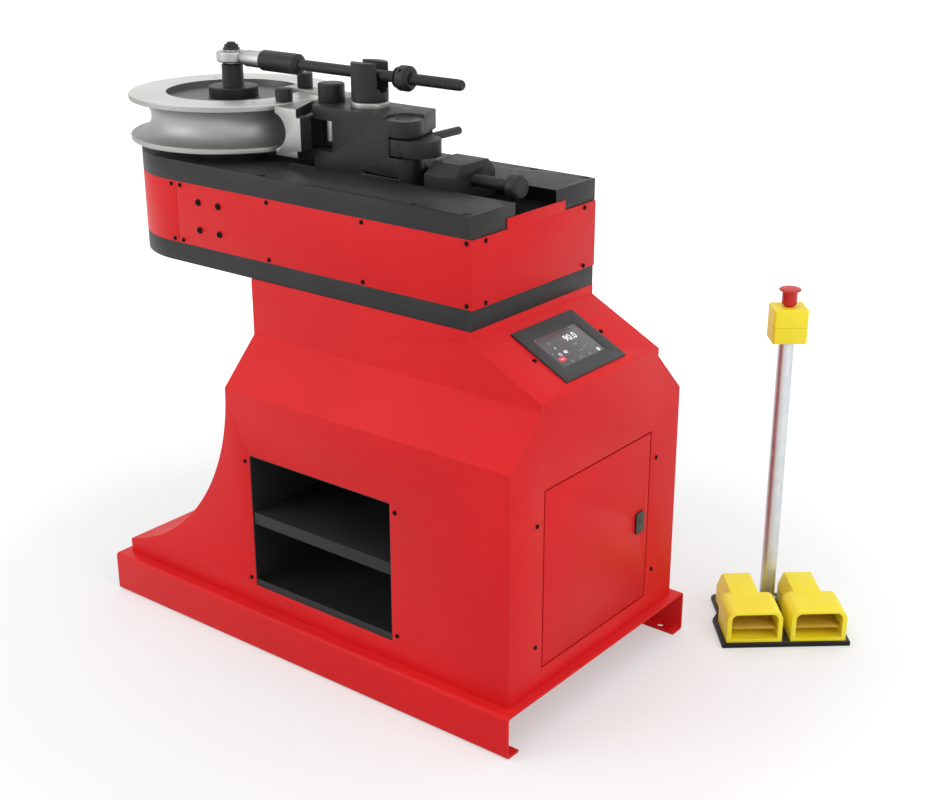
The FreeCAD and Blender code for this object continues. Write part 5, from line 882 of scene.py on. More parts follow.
    def pick(self, kind: Pick, test: Test) -> "Workpiece":
        """Goes into edit mode with only some faces or edges selected.

        Args:
            kind: faces or edges.
            test: takes the middle, in millimetres, and the normal of a face or the direction of
                an edge.

        Returns:
            This workpiece, in edit mode.
        """
        self.hold()
        bpy.ops.object.mode_set(mode="EDIT")
        bpy.ops.mesh.select_mode(type=kind.value)
        bpy.ops.mesh.select_all(action="DESELECT")
        mesh = bmesh.from_edit_mesh(self.obj.data)
        mesh.normal_update()
        if kind is Pick.FACES:
            for face in mesh.faces:
                if test(face.calc_center_median() / MM, face.normal):
                    face.select_set(True)
        else:
            for edge in mesh.edges:
                a, b = edge.verts[0].co, edge.verts[1].co
                if test((a + b) / 2 / MM, (b - a).normalized()):
                    edge.select_set(True)
        mesh.select_flush_mode()
        bmesh.update_edit_mesh(self.obj.data)
        return self

    def done(self) -> "Workpiece":
        """Leaves edit mode."""
        bpy.ops.object.mode_set(mode="OBJECT")
        return self

    def round_edges(self, test: Test, width: float, segments: int = 4) -> "Workpiece":
        """Bevels the edges that a test picks by their middle and direction."""
        self.pick(Pick.EDGES, test)
        bpy.ops.mesh.bevel(offset=width * MM, segments=segments, affect="EDGES")
        return self.done()

    def sink(self, test: Test, depth: float) -> "Workpiece":
        """Pushes in the faces that a test picks by their middle and normal."""
        self.pick(Pick.FACES, test)
        bpy.ops.mesh.extrude_region_shrink_fatten(
            TRANSFORM_OT_shrink_fatten={"value": -depth * MM})
        return self.done()

    def mark(self, choose: Callable[[bpy.types.MeshPolygon], int]) -> "Workpiece":
        """Gives each face the number of the finish that it takes."""
        for face in self.obj.data.polygons:
            face.material_index = int(choose(face))
        return self

    def modify(self, kind: str, **settings: object) -> "Workpiece":
        """Adds a modifier with its settings and applies it."""
        self.hold()
        modifier = self.obj.modifiers.new(kind.lower(), kind)
        for name, value in settings.items():
            setattr(modifier, name, value)
        bpy.ops.object.modifier_apply(modifier=modifier.name)
        return self

    def cut(self, *tools: "Workpiece") -> "Workpiece":
        """Takes the tools' shapes out of this one and clears the tools away."""
        return self._combine("DIFFERENCE", tools)

    def join(self, *others: "Workpiece") -> "Workpiece":
        """Fuses other pieces into this one."""
        return self._combine("UNION", others)

    def _combine(self, operation: str, others: Iterable["Workpiece"]) -> "Workpiece":
        """Runs one Boolean after another, and removes what it used up."""
        for other in others:
            self.modify("BOOLEAN", operation=operation, solver="EXACT", object=other.obj)
            bpy.data.objects.remove(other.obj)
        return self

    def gather(self, *others: "Workpiece") -> "Workpiece":
        """Puts other pieces into the same object as separate shells."""
        self.hold()
        for other in others:
            other.obj.select_set(True)
        bpy.ops.object.join()
        return self

    def ease(self, width: float, segments: int = 2, sharp: float = 30.0) -> "Workpiece":
        """Rounds every sharp edge a little.

        Args:
            width: the width of the rounding.
            segments: the number of faces across it.
            sharp: the angle in degrees from which an edge is sharp.

        Returns:
            This workpiece.
        """
        return self.modify("BEVEL", width=width * MM, segments=segments, limit_method="ANGLE",
                           angle_limit=math.radians(sharp), use_clamp_overlap=False,
                           harden_normals=False, miter_outer="MITER_ARC")

    def settle(self, body: Body, slot: str, finish: Union[Finish, Sequence[Finish]],
               replaces: Sequence[str] = (), smooth: float = 32.0) -> None:
        """Finishes the piece: shading, material, body and the nodes that it hides.

        Args:
            body: the body that it rides on.
            slot: the record's material slot; not used.
            finish: its finish, or several where faces already name their own.
            replaces: the nodes that it stands for.
            smooth: the angle in degrees under which edges are shaded smooth.
        """
        self.hold()
        bpy.ops.object.shade_smooth_by_angle(angle=math.radians(smooth))
        keep = [p.material_index for p in self.obj.data.polygons]
        self.obj.data.materials.clear()
        for one in [finish] if isinstance(finish, Finish) else finish:
            self.obj.data.materials.append(one.material())
        if not isinstance(finish, Finish):
            self.obj.data.polygons.foreach_set("material_index", keep)
        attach(self.obj, body.value)
        if replaces:
            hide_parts(*replaces)
        LOG.info("%s: %d faces on %s", self.obj.name, len(self.obj.data.polygons), body.value)


def helix_ridge(name: str, crest: float, root: float, pitch: float, start: float, end: float,
                height: float) -> Workpiece:
    """Winds the ridge of a right-handed thread along X.

    Args:
        name: the object's name.
        crest: the radius at the top of the ridge.
        root: the radius of the bar that it lies on.
        pitch: the distance from one turn to the next.
        start: where the thread starts along X.
        end: where it ends.
        height: the height of the bar's axis.

    Returns:
        The closed ridge.
    """
    sunk, steps = 0.6, 20
    low, half, flat = root - sunk, pitch * 0.46, pitch * 0.09
    section = [(low, -half), (root, -half), (crest, -flat), (crest, flat), (root, half),
               (low, half)]
    Workpiece.clear()
    bpy.ops.mesh.primitive_circle_add(vertices=len(section), radius=0.001, fill_type="NOTHING")
    piece = Workpiece.started(name)
    for vertex, (radius, along) in zip(piece.obj.data.vertices, section):
        vertex.co = (radius * MM, 0.0, along * MM)
    turns = int((end - start - 2 * half) / pitch)
    piece.modify("SCREW", axis="Z", angle=TURN, screw_offset=pitch * MM, iterations=turns,
                 steps=steps, render_steps=steps, use_merge_vertices=False,
                 use_smooth_shade=False)
    piece.hold()
    bpy.ops.object.mode_set(mode="EDIT")
    bpy.ops.mesh.select_mode(type="EDGE")
    bpy.ops.mesh.select_all(action="DESELECT")
    bpy.ops.mesh.select_non_manifold()
    bpy.ops.mesh.edge_face_add()
    bpy.ops.mesh.select_all(action="SELECT")
    bpy.ops.mesh.normals_make_consistent(inside=False)
    moved = Matrix.Translation(Vector((start + half, 0, height)) * MM)
    return piece.done().place(moved @ Matrix.Rotation(math.pi / 2, 4, "Y"))


# ---------------------------------------------------------------------------------------------
# The machine's sub-assemblies


@dataclass
class Eased:
    """A node of the model whose form is right, with its sharp edges taken off."""

    node: str
    body: Body
    slot: str
    finish: Finish
    width: float = 0.8
    segments: int = 2

    def build(self) -> None:
        """Copies, eases and dresses the node."""
        piece = Workpiece.copy_of(self.node, "eased_" + self.node)
        piece.ease(self.width, self.segments)
        piece.settle(self.body, self.slot, self.finish, [self.node])


def dress_node(node: str, finish: Finish) -> None:
    """Gives a node that stays as it is its finish."""
    obj = bpy.data.objects[node]
    obj.data.materials.clear()
    obj.data.materials.append(finish.material())
    LOG.info("%s: kept, with finish %s", node, finish.name)


@dataclass
class Cabinet:
    """The red base and cabinet, with the shelf in its near side."""

    sheet_edge: float = 1.0
    shelf_edge: float = 0.6
    shelf_lip: float = 3.0

    def build(self) -> None:
        """Builds the base, the walls and the shelf."""
        for node in ("base_frame", "cabinet_side_near", "cabinet_side_far",
                     "cabinet_end_panel", "cabinet_curved_panel"):
            Eased(node, Body.MACHINE, "red_paint", RED, self.sheet_edge).build()
        self.lipped("shelf_box")
        self.lipped("middle_shelf")

    def lipped(self, node: str) -> None:
        """Dresses a black piece of the shelf, with its grey front lip."""
        piece = Workpiece.copy_of(node, "eased_" + node).ease(self.shelf_edge)
        lip = min(v.co.y for v in piece.obj.data.vertices) + self.shelf_lip * MM
        piece.mark(lambda face: face.center.y < lip and face.normal.z < 0.7)
        piece.settle(Body.MACHINE, "box_black", [SHELF_BLACK, SHELF_LIP], [node])


@dataclass
class Door:
    """The door in the end, with its lock."""

    sheet_edge: float = 0.8
    lock_edge: float = 0.7
    cam_edge: float = 0.3

    def build(self) -> None:
        """Builds the leaf, the lock's plate and the core with its cam."""
        Eased("door_panel", Body.DOOR, "red_paint", RED, self.sheet_edge).build()
        Eased("door_lock", Body.DOOR, "screw_black", LOCK_BLACK, self.lock_edge, 3).build()
        Eased("lock_cam", Body.LATCH, "bright_steel", LOCK_STEEL, self.cam_edge).build()


@dataclass
class Head:
    """The head: two dark plates, the red covers between them and what sits on its deck."""

    plate_edge: float = 1.2
    cover_edge: float = 0.6
    block_edge: float = 1.0
    channel_x: float = -232.0
    channel_half_width: float = 78.5
    channel_depth: float = 32.0

    def build(self) -> None:
        """Builds the plates, the covers, the bearing cap and the nut block."""
        Eased("head_bottom_plate", Body.MACHINE, "dark_plate", DARK_PLATE,
              self.plate_edge).build()
        self.top_plate()
        for node in ("nose_cover", "side_cover_near", "side_cover_far", "head_end_cover"):
            Eased(node, Body.MACHINE, "red_paint", RED, self.cover_edge).build()
        for node in ("bearing_cap", "nut_block"):
            Eased(node, Body.MACHINE, "dark_plate", DARK_BLOCK, self.block_edge).build()
        dress_node("head_spacers", LATCH_STEEL)

    def top_plate(self) -> None:
        """Dresses the top plate, whose channel for the carriage is painted near-black as painted
        shade.
        """
        piece = Workpiece.copy_of("head_top_plate", "eased_head_top_plate")
        piece.ease(self.plate_edge)
        slack = 0.1
        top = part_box("head_top_plate")[1].z / MM - self.plate_edge - slack
        low, side = top - self.channel_depth, self.channel_half_width + slack

        # The channel's floor and walls take the near-black finish as painted shade.
        def in_channel_shade(face: bpy.types.MeshPolygon) -> bool:
            """Tells whether a face lies in the channel."""
            x, y, z = face.center / MM
            within = x > self.channel_x and abs(y) < side and low < z < top
            return within and face.normal.x < 0.5

        piece.mark(in_channel_shade).settle(Body.MACHINE, "dark_plate", [DARK_PLATE, CHANNEL_SHADE_BLACK],
                                 ["head_top_plate"])


@dataclass
class Drive:
    """The gears, bearings, gear unit and motor, all inside the head and the cabinet."""

    casting_edge: float = 1.5

    def build(self) -> None:
        """Dresses the pieces that the covers hide."""
        for node in ("spindle_shaft", "spindle_gear", "idler_gear", "drive_pinion",
                     "idler_axle"):
            dress_node(node, GEAR_STEEL)
        dress_node("spindle_bearings", BEARING_STEEL)
        Eased("gear_reducer", Body.MACHINE, "reducer_paint", ENAMEL, self.casting_edge).build()
        dress_node("drive_motor", ENAMEL)


@dataclass
class BendingDie:
    """The grooved die with its hub, the post and the clamp hook."""

    centre: Triple = SPINDLE_CENTRE
    bottom: float = 1220.0
    top: float = 1336.0
    rim: float = 266.0
    bend: float = 257.0
    groove: float = 44.7
    pocket: float = 172.0
    pocket_depth: float = 17.0
    seat: float = 45.0
    lip_edge: float = 2.0
    lifting_reach: float = 210.0
    lifting_angle: float = -30.0
    lifting_hole: float = 5.0
    pivot: Point = (165.0, 94.0)
    pivot_hole: float = 11.0
    hole_depth: float = 10.0
    hub: float = 63.0
    hub_top: float = 1346.0
    post_radius: float = 27.5
    post_top: float = 1402.0
    stud: float = 12.0
    stud_top: float = 1456.0
    ball: float = 22.0
    ball_angle: float = 36.2
    nut_seat: float = 1437.0
    nut_top: float = 1450.0
    nut_corner: float = 19.0

    def build(self) -> None:
        """Builds the die and what stands on it."""
        self.die()
        self.post()
        self.bush()
        self.post_nut()
        Eased("clamp_hook", Body.CLAMP, "die_steel", GROUND_STEEL, 0.8, 3).build()
        Eased("clamp_bolts", Body.SPINDLE, "black_oxide", BLACKED, 0.8, 3).build()

    def die(self) -> None:
        """Spins the die's profile, drills its holes and tells its faces apart."""
        middle = (self.bottom + self.top) / 2
        floor = self.top - self.pocket_depth
        b, g = self.lip_edge, self.groove
        outside = [(self.seat, self.bottom), (self.rim - b, self.bottom),
                   (self.rim, self.bottom + b), (self.rim, middle - g)]
        groove = arc((self.bend, middle), g, -90, -270, 28)
        inside = [(self.rim, middle + g), (self.rim, self.top - b), (self.rim - b, self.top),
                  (self.pocket, self.top), (self.pocket, floor), (self.seat, floor),
                  (self.seat, self.bottom)]
        piece = Workpiece.turned("grooved_die", outside + groove + inside, 1.2, 160,
                                 self.centre)
        a = math.radians(self.lifting_angle)
        x, y = self.lifting_reach * math.cos(a), self.lifting_reach * math.sin(a)
        piece.cut(self.drill("lifting_hole", self.lifting_hole, -x, -y, 20),
                  self.drill("lifting_hole", self.lifting_hole, x, y, 20),
                  self.drill("pivot_hole", self.pivot_hole, *self.pivot, 32))

        def surface(face: bpy.types.MeshPolygon) -> int:
            """Tells the top ring from the pocket and from the groove with its rims."""
            place = face.center / MM - Vector(self.centre)
            reach = Vector((place.x, place.y)).length
            # The pocket takes the darker steel as painted shade.
            if reach < self.pocket + 0.2 and floor - 0.5 < place.z < self.top - 0.7:
                return 1
            # The groove and its rims take the darker steel as painted shade.
            return 2 if reach > self.pocket + 1 and place.z < self.top - 0.6 else 0

        piece.mark(surface).settle(Body.SPINDLE, "die_steel",
                                   [DIE_STEEL, POCKET_SHADE_STEEL, GROOVE_SHADE_STEEL], ["bending_die"])

    def drill(self, name: str, radius: float, x: float, y: float, sides: int) -> Workpiece:
        """Makes the tool for an upright hole in the die's top, placed from its centre."""
        spot = (self.centre[0] + x, y)
        return Workpiece.bar(name, radius, (*spot, self.top - self.hole_depth),
                             (*spot, self.top + 5), sides)

    def post(self) -> None:
        """Spins the hub with the post and the stud."""
        floor, h, r, s = self.top - self.pocket_depth, self.hub, self.post_radius, self.stud
        profile = [(0, floor), (h, floor), (h, self.hub_top - 2), (h - 2, self.hub_top),
                   (r, self.hub_top), (r, self.post_top - 3), (r - 3, self.post_top),
                   (s, self.post_top), (s, self.stud_top - 3), (s - 3, self.stud_top),
                   (0, self.stud_top)]
        Workpiece.turned("hub_and_post", profile, 1.0, 64, self.centre).settle(
            Body.SPINDLE, "black_oxide", BLACKED, ["tie_post"])

    def bush(self) -> None:
        """Spins the bush whose ball the tie rod swivels on."""
        low, high, s = self.post_top, self.nut_seat, self.stud
        collar = s + 2.5
        ball = arc((0, TIE_ROD_HEIGHT), self.ball, -self.ball_angle, self.ball_angle, 10)
        profile = [(s, low), (collar, low), (collar, low + 5), *ball, (collar, high - 4),
                   (collar, high), (s, high), (s, low)]
        Workpiece.turned("ball_bush", profile, 0.0, 48, self.centre).settle(
            Body.SPINDLE, "bright_steel", PIN_STEEL, ["spherical_bush"])

    def post_nut(self) -> None:
        """Models the flanged nut: a hexagon fused to its washer face."""
        x, s, low, corner = self.centre[0], self.stud, self.nut_seat, self.nut_corner
        flange = [(s, low), (corner + 3, low), (corner + 3, low + 3), (corner, low + 6),
                  (s, low + 6), (s, low)]
        nut = Workpiece.turned("flanged_nut", flange, 0.6, 48, self.centre)
        hexagon = Workpiece.bar("nut_flats", corner, (x, 0, low + 5), (x, 0, self.nut_top), 6)
        hexagon.cut(Workpiece.bar("nut_bore", s, (x, 0, low + 3), (x, 0, self.nut_top + 2), 48))
        nut.join(hexagon)
        nut.ease(0.5).settle(Body.SPINDLE, "black_oxide", BLACKED, ["post_nut"])


@dataclass
class TieRod:
    """The tie rod: eye, sleeve, threaded bar, washer and nut."""

    eye_radius: float = 39.0
    eye_width: float = 26.0
    eye_bore: float = 18.0
    socket: float = 22.3
    socket_angle: float = 35.7
    shank_root: float = 12.0
    shank: float = 21.0
    shank_start: float = 27.0
    shank_end: float = 115.0
    sleeve: float = 26.0
    sleeve_start: float = -395.0
    sleeve_end: float = -264.0
    end: float = 245.0
    radius: float = 13.5
    thread_depth: float = 1.1
    thread_start: float = 12.0
    pitch: float = 5.0
    washer_radius: float = 25.0
    washer_width: float = 5.0
    nut_x: float = 54.0
    nut_radius: float = 30.0
    nut_width: float = 41.0
    nut_holes: int = 4
    nut_hole: float = 4.0

    def build(self) -> None:
        """Builds the eye, the rod, the washer and the nut."""
        self.eye()
        self.rod()
        self.washer()
        self.nut()

    def eye(self) -> None:
        """Spins the ring of the eye and fuses its shank to it."""
        low, high = TIE_ROD_HEIGHT - self.eye_width / 2, TIE_ROD_HEIGHT + self.eye_width / 2
        bore, rim = self.eye_bore, self.eye_radius
        socket = arc((0, TIE_ROD_HEIGHT), self.socket, self.socket_angle, -self.socket_angle, 8)
        ring = [(bore, low), (rim - 3, low), (rim, low + 3), (rim, high - 3), (rim - 3, high),
                (bore, high), *socket[1:-1], (bore, low)]
        piece = Workpiece.turned("rod_eye", ring, 1.5, 72, SPINDLE_CENTRE)
        root, thick, start, end = self.shank_root, self.shank, self.shank_start, self.shank_end
        shank = [(0, start), (root, start), (thick, start + 33), (thick, end), (0, end)]
        bar = Workpiece.turned("eye_shank", shank, 3.0, 48, (SPINDLE_X, 0, TIE_ROD_HEIGHT),
                               Axis.ALONG_X)
        piece.join(bar).settle(Body.TIE_BAR, "bright_steel", EYE_STEEL, ["rod_end"])

    def rod(self) -> None:
        """Spins the sleeve and the bar, and winds the thread on the bar's free end."""
        a, b, r, s = self.sleeve_start, self.sleeve_end, self.radius, self.sleeve
        root, runout = r - self.thread_depth, self.end - 7
        profile = [(0, a), (s - 4, a), (s, a + 4), (s, b - 9), (17, b), (r, b),
                   (r, self.thread_start - 2), (root, self.thread_start), (root, runout),
                   (r - 1, self.end - 5), (r - 4, self.end), (0, self.end)]
        bar = Workpiece.turned("tie_bar_rod", profile, 0.8, 48, TIE_ROD_CENTRE, Axis.ALONG_X)
        ridge = helix_ridge("tie_rod_thread", r, root, self.pitch, self.thread_start, runout,
                            TIE_ROD_HEIGHT)
        bar.gather(ridge).settle(Body.TIE_BAR, "black_oxide", BLACKED_ROD, ["tie_rod"], 24)

    def washer(self) -> None:
        """Spins the thrust washer beside the nut."""
        bore, rim = self.radius + 0.05, self.washer_radius
        high = self.nut_x - 0.3
        low = high - self.washer_width
        profile = [(bore, low), (rim - 3, low), (rim, low + 2), (rim, high), (bore, high),
                   (bore, low)]
        ring = Workpiece.turned("thrust_ring", profile, 0.4, 48, TIE_ROD_CENTRE, Axis.ALONG_X)
        ring.settle(Body.TIE_WASHER, "black_oxide", BLACKED_ROD, ["thrust_washer"])

    def nut(self) -> None:
        """Spins the round nut and drills its bar holes."""
        bore, rim, x = self.radius + 0.05, self.nut_radius, self.nut_x
        end = x + self.nut_width
        profile = [(bore, x), (rim - 9, x), (rim, x + 9), (rim, end - 9), (rim - 9, end),
                   (bore, end), (bore, x)]
        piece = Workpiece.turned("round_nut", profile, 1.2, 64, TIE_ROD_CENTRE, Axis.ALONG_X)
        tools = []
        for number in range(self.nut_holes):
            a = math.radians(45) + TURN * number / self.nut_holes
            inner, outer = [(x + self.nut_width / 2, math.cos(a) * reach,
                             TIE_ROD_HEIGHT + math.sin(a) * reach)
                            for reach in (rim - 8, rim + 3)]
            tools.append(Workpiece.bar("bar_hole", self.nut_hole, inner, outer, 20))
        piece.cut(*tools).settle(Body.TIE_NUT, "black_oxide", BLACKED_ROD, ["tie_nut"])


@dataclass
class Carriage:
    """The carriage with its fork, slotted post, counter die, release and feed screw."""

    pin_radius: float = 25.0
    pin_head: float = 33.0
    pin_head_height: float = 45.0
    shoe_back: float = -195.0
    ear_bottom: float = 1234.0
    ear_top: float = 1320.0
    release_pocket: float = 8.0
    screw_start: float = 100.8
    screw_stud: float = 11.0
    screw_radius: float = 15.0
    screw_root: float = 13.6
    screw_head: float = 30.0
    shoulder: float = 146.0
    head_x: float = 380.0
    head_length: float = 36.0
    pitch: float = 6.0

    def build(self) -> None:
        """Builds the blocks, the pin, the washer, the lever and the screw."""
        Eased("slotted_post", Body.CARRIAGE, "black_oxide", DARK_BLOCK, 1.0, 3).build()
        Eased("shoe_holder", Body.COUNTER_DIE, "dark_plate", DARK_BLOCK, 0.8, 3).build()
        Eased("release_lever", Body.RELEASE, "black_oxide", DARK_BLOCK, 0.8, 3).build()
        self.block()
        self.shoe()
        self.pin()
        self.washer()
        self.screw()

    def block(self) -> None:
        """Dresses the carriage, whose pocket over the release is bare."""
        piece = Workpiece.copy_of("carriage_block", "eased_carriage_block").ease(1.2, 3)
        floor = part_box("carriage_block")[1].z - self.release_pocket * MM
        piece.mark(lambda face: face.normal.z > 0.9 and abs(face.center.z - floor) < 0.5 * MM)
        piece.settle(Body.CARRIAGE, "dark_plate", [DARK_BLOCK, SCRAPED_BLOCK],
                     ["carriage_block"])

    def shoe(self) -> None:
        """Dresses the counter die: bright, with a blacked ear and back."""
        piece = Workpiece.copy_of("counter_die", "eased_counter_die").ease(1.0, 3)

        def blacked(face: bpy.types.MeshPolygon) -> bool:
            """Tells whether a face lies on the ear or on the back."""
            behind = face.center.x > (self.shoe_back - 0.2) * MM
            ear = behind and self.ear_bottom * MM < face.center.z < self.ear_top * MM
            return ear or face.normal.x > 0.6

        piece.mark(blacked).settle(Body.COUNTER_DIE, "die_steel", [GROUND_STEEL, DARK_BLOCK],
                                   ["counter_die"])

    def pin(self) -> None:
        """Spins the pin: a bright shank under a blacked head."""
        low, high = (v.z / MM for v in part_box("holder_pin"))
        seat, r, head = high - self.pin_head_height, self.pin_radius, self.pin_head
        profile = [(0, low), (r - 2, low), (r, low + 2), (r, seat), (head, seat),
                   (head, high - 3), (head - 3, high), (0, high)]
        piece = Workpiece.turned("fork_pin", profile, 0.8, 64, (PIN_X, 0, 0))
        piece.mark(lambda face: face.center.z > seat * MM - 1e-5)
        piece.settle(Body.CARRIAGE, "black_oxide", [PIN_STEEL, BLACKED], ["holder_pin"])

    def washer(self) -> None:
        """Spins the bright washer under the slotted post."""
        low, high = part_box("post_washer")
        centre = ((low.x + high.x) / 2 / MM, 0, 0)
        z0, z1, r = low.z / MM, high.z / MM, (high.x - low.x) / 2 / MM
        profile = [(0, z0), (r, z0), (r, z1 - 3), (r - 3, z1), (0, z1)]
        Workpiece.turned("bright_washer", profile, 1.5, 72, centre).settle(
            Body.CARRIAGE, "bright_steel", GROUND_STEEL, ["post_washer"])

    def screw(self) -> None:
        """Spins the feed screw and winds its thread."""
        x0, x1, x2 = self.screw_start, self.head_x, self.head_x + self.head_length
        stud, root, r, head = self.screw_stud, self.screw_root, self.screw_radius, self.screw_head
        profile = [(0, x0), (stud - 1, x0), (stud, x0 + 1), (stud, self.shoulder),
                   (root, self.shoulder), (root, x1 - 4), (r, x1 - 2), (r, x1),
                   (head - 7, x1), (head, x1 + 7), (head, x2 - 7), (head - 7, x2), (0, x2)]
        bar = Workpiece.turned("feed_screw_bar", profile, 1.5, 56, SCREW_CENTRE, Axis.ALONG_X)
        ridge = helix_ridge("feed_thread", r, root, self.pitch, self.shoulder + 1, x1 - 4,
                            SCREW_HEIGHT)
        bar.gather(ridge).settle(Body.FEED_SCREW, "black_oxide", BLACKED_SCREW,
                                 ["feed_screw"], 24)


@dataclass
class SlopeFrame:
    """The plane of a sloping face: its middle, the way across it, the way up it and out."""

    middle: Vector
    across: Vector
    up: Vector
    out: Vector

    @classmethod
    def of(cls, node: str) -> "SlopeFrame":
        """Reads the plane from the largest upward face of a node.

        Args:
            node: the node's name.

        Returns:
            The frame of that face, in metres.
        """
        planes: dict[Triple, list[tuple[float, Vector]]] = {}
        for face in bpy.data.objects[node].data.polygons:
            if face.normal.z > 0.5:
                key = tuple(round(v, 2) for v in face.normal)
                planes.setdefault(key, []).append((face.area, face.center.copy()))
        normal, faces = max(planes.items(), key=lambda item: sum(a for a, _ in item[1]))
        total = sum(area for area, _ in faces)
        middle = sum((centre * area for area, centre in faces), Vector()) / total
        out = Vector(normal).normalized()
        across = Vector((0, 1, 0))
        return cls(middle, across, out.cross(across).normalized(), out)

    def matrix(self) -> Matrix:
        """Returns the matrix from the plane's own frame to the machine's frame."""
        columns = Matrix((self.across, self.up, self.out)).transposed().to_4x4()
        return Matrix.Translation(self.middle) @ columns


@dataclass
class ControlScreen:
    """The screen on the end slope: frame, glass and a plain work page.

    The signs of the page are placed in millimetres from the middle of the glass: first the way
    across, then the way up.
    """

    thick: float = 0.25
    frame_edge: float = 0.8
    glass_edge: float = 0.5
    lift: float = 0.1
    white_lift: float = 0.2
    type_scale: float = 1.4

    def build(self) -> None:
        """Builds the frame, the glass and the signs on it."""
        Eased("screen_bezel", Body.MACHINE, "screen_frame", BEZEL, self.frame_edge, 3).build()
        plane = SlopeFrame.of("touch_screen").matrix()
        Eased("touch_screen", Body.MACHINE, "screen_glass", GLASS, self.glass_edge).build()
        self.page(plane)

    def number(self, text: str, size: float, x: float, y: float) -> Workpiece:
        """Makes a plain number in the display's plane.

        Args:
            text: the digits.
            size: their height.
            x: the middle of the number across the display.
            y: the middle of the number up the display.

        Returns:
            The number as a thin mesh.
        """
        Workpiece.clear()
        bpy.ops.object.text_add()
        obj = bpy.context.object
        obj.data.body = text
        obj.data.align_x, obj.data.align_y = "CENTER", "CENTER"
        obj.data.size = size * MM * self.type_scale
        obj.data.extrude = self.thick * MM / 2
        obj.data.resolution_u = 3
        bpy.ops.object.convert(target="MESH")
        piece = Workpiece.started("digits")
        return piece.place(Matrix.Translation((x * MM, y * MM, self.thick * MM / 2)))

    def plate(self, x: float, y: float, w: float, h: float, corner: float = 1.0) -> Workpiece:
        """Makes a thin rounded plate, as for a key or a line of a table.

        Args:
            x: its middle across the display.
            y: its middle up the display.
            w: its width.
            h: its height.
            corner: the radius of its corners.

        Returns:
            The plate.
        """
        piece = Workpiece.block("plate", (x - w / 2, y - h / 2, 0),
                                (x + w / 2, y + h / 2, self.thick))
        return piece.round_edges(lambda middle, way: abs(way.z) > 0.9,
                                 min(corner, 0.45 * h, 0.45 * w), 3)

    def ring(self, x: float, y: float, outer: float, inner: float) -> Workpiece:
        """Makes a thin ring, as for a dial sign."""
        profile = [(inner, 0), (outer, 0), (outer, self.thick), (inner, self.thick), (inner, 0)]
        return Workpiece.turned("ring", profile, 0.0, 24, (x, y, 0))

    def page(self, plane: Matrix) -> None:
        """Lays out the work page: numbers, lines of a table, keys and dial signs.

        Args:
            plane: the matrix of the display's plane.
        """
        white = [self.number("90.0", 19, 26, 18), self.number("12", 9.0, -54, -14.5),
                 self.number("40", 10.0, -32, -14.0), self.number("5", 6.5, -48, 6),
                 self.ring(64, -42, 5.0, 3.4), self.plate(64, -42, 2.4, 2.4),
                 self.plate(-62, -28, 9, 1.4)]
        grey = [self.plate(18, -4, 13, 2.2), self.plate(-72, -6, 6, 2.2),
                self.plate(16, -25, 12, 1.6), self.plate(36, -20, 9, 1.6),
                self.plate(58, 43, 14, 1.6), self.number("180", 6.5, -52, 23),
                *(self.ring(x, -43, 3.8, 2.6) for x in (-42, -7, 28))]
        red = [self.plate(-62, -28, 24, 13, 2.5), self.plate(-78, 44, 5, 3.5),
               self.plate(70, 14, 4, 3), self.plate(-40, -46, 5, 2.4)]
        for name, signs, finish, lift in (
                ("screen_white_signs", white, PRINT_WHITE, self.white_lift),
                ("screen_grey_signs", grey, PRINT_GREY, self.lift),
                ("screen_red_keys", red, PRINT_RED, self.lift)):
            piece = signs[0].gather(*signs[1:]).named(name)
            piece.place(plane @ Matrix.Translation((0, 0, lift * MM)))
            piece.settle(Body.MACHINE, "screen_glass", finish)


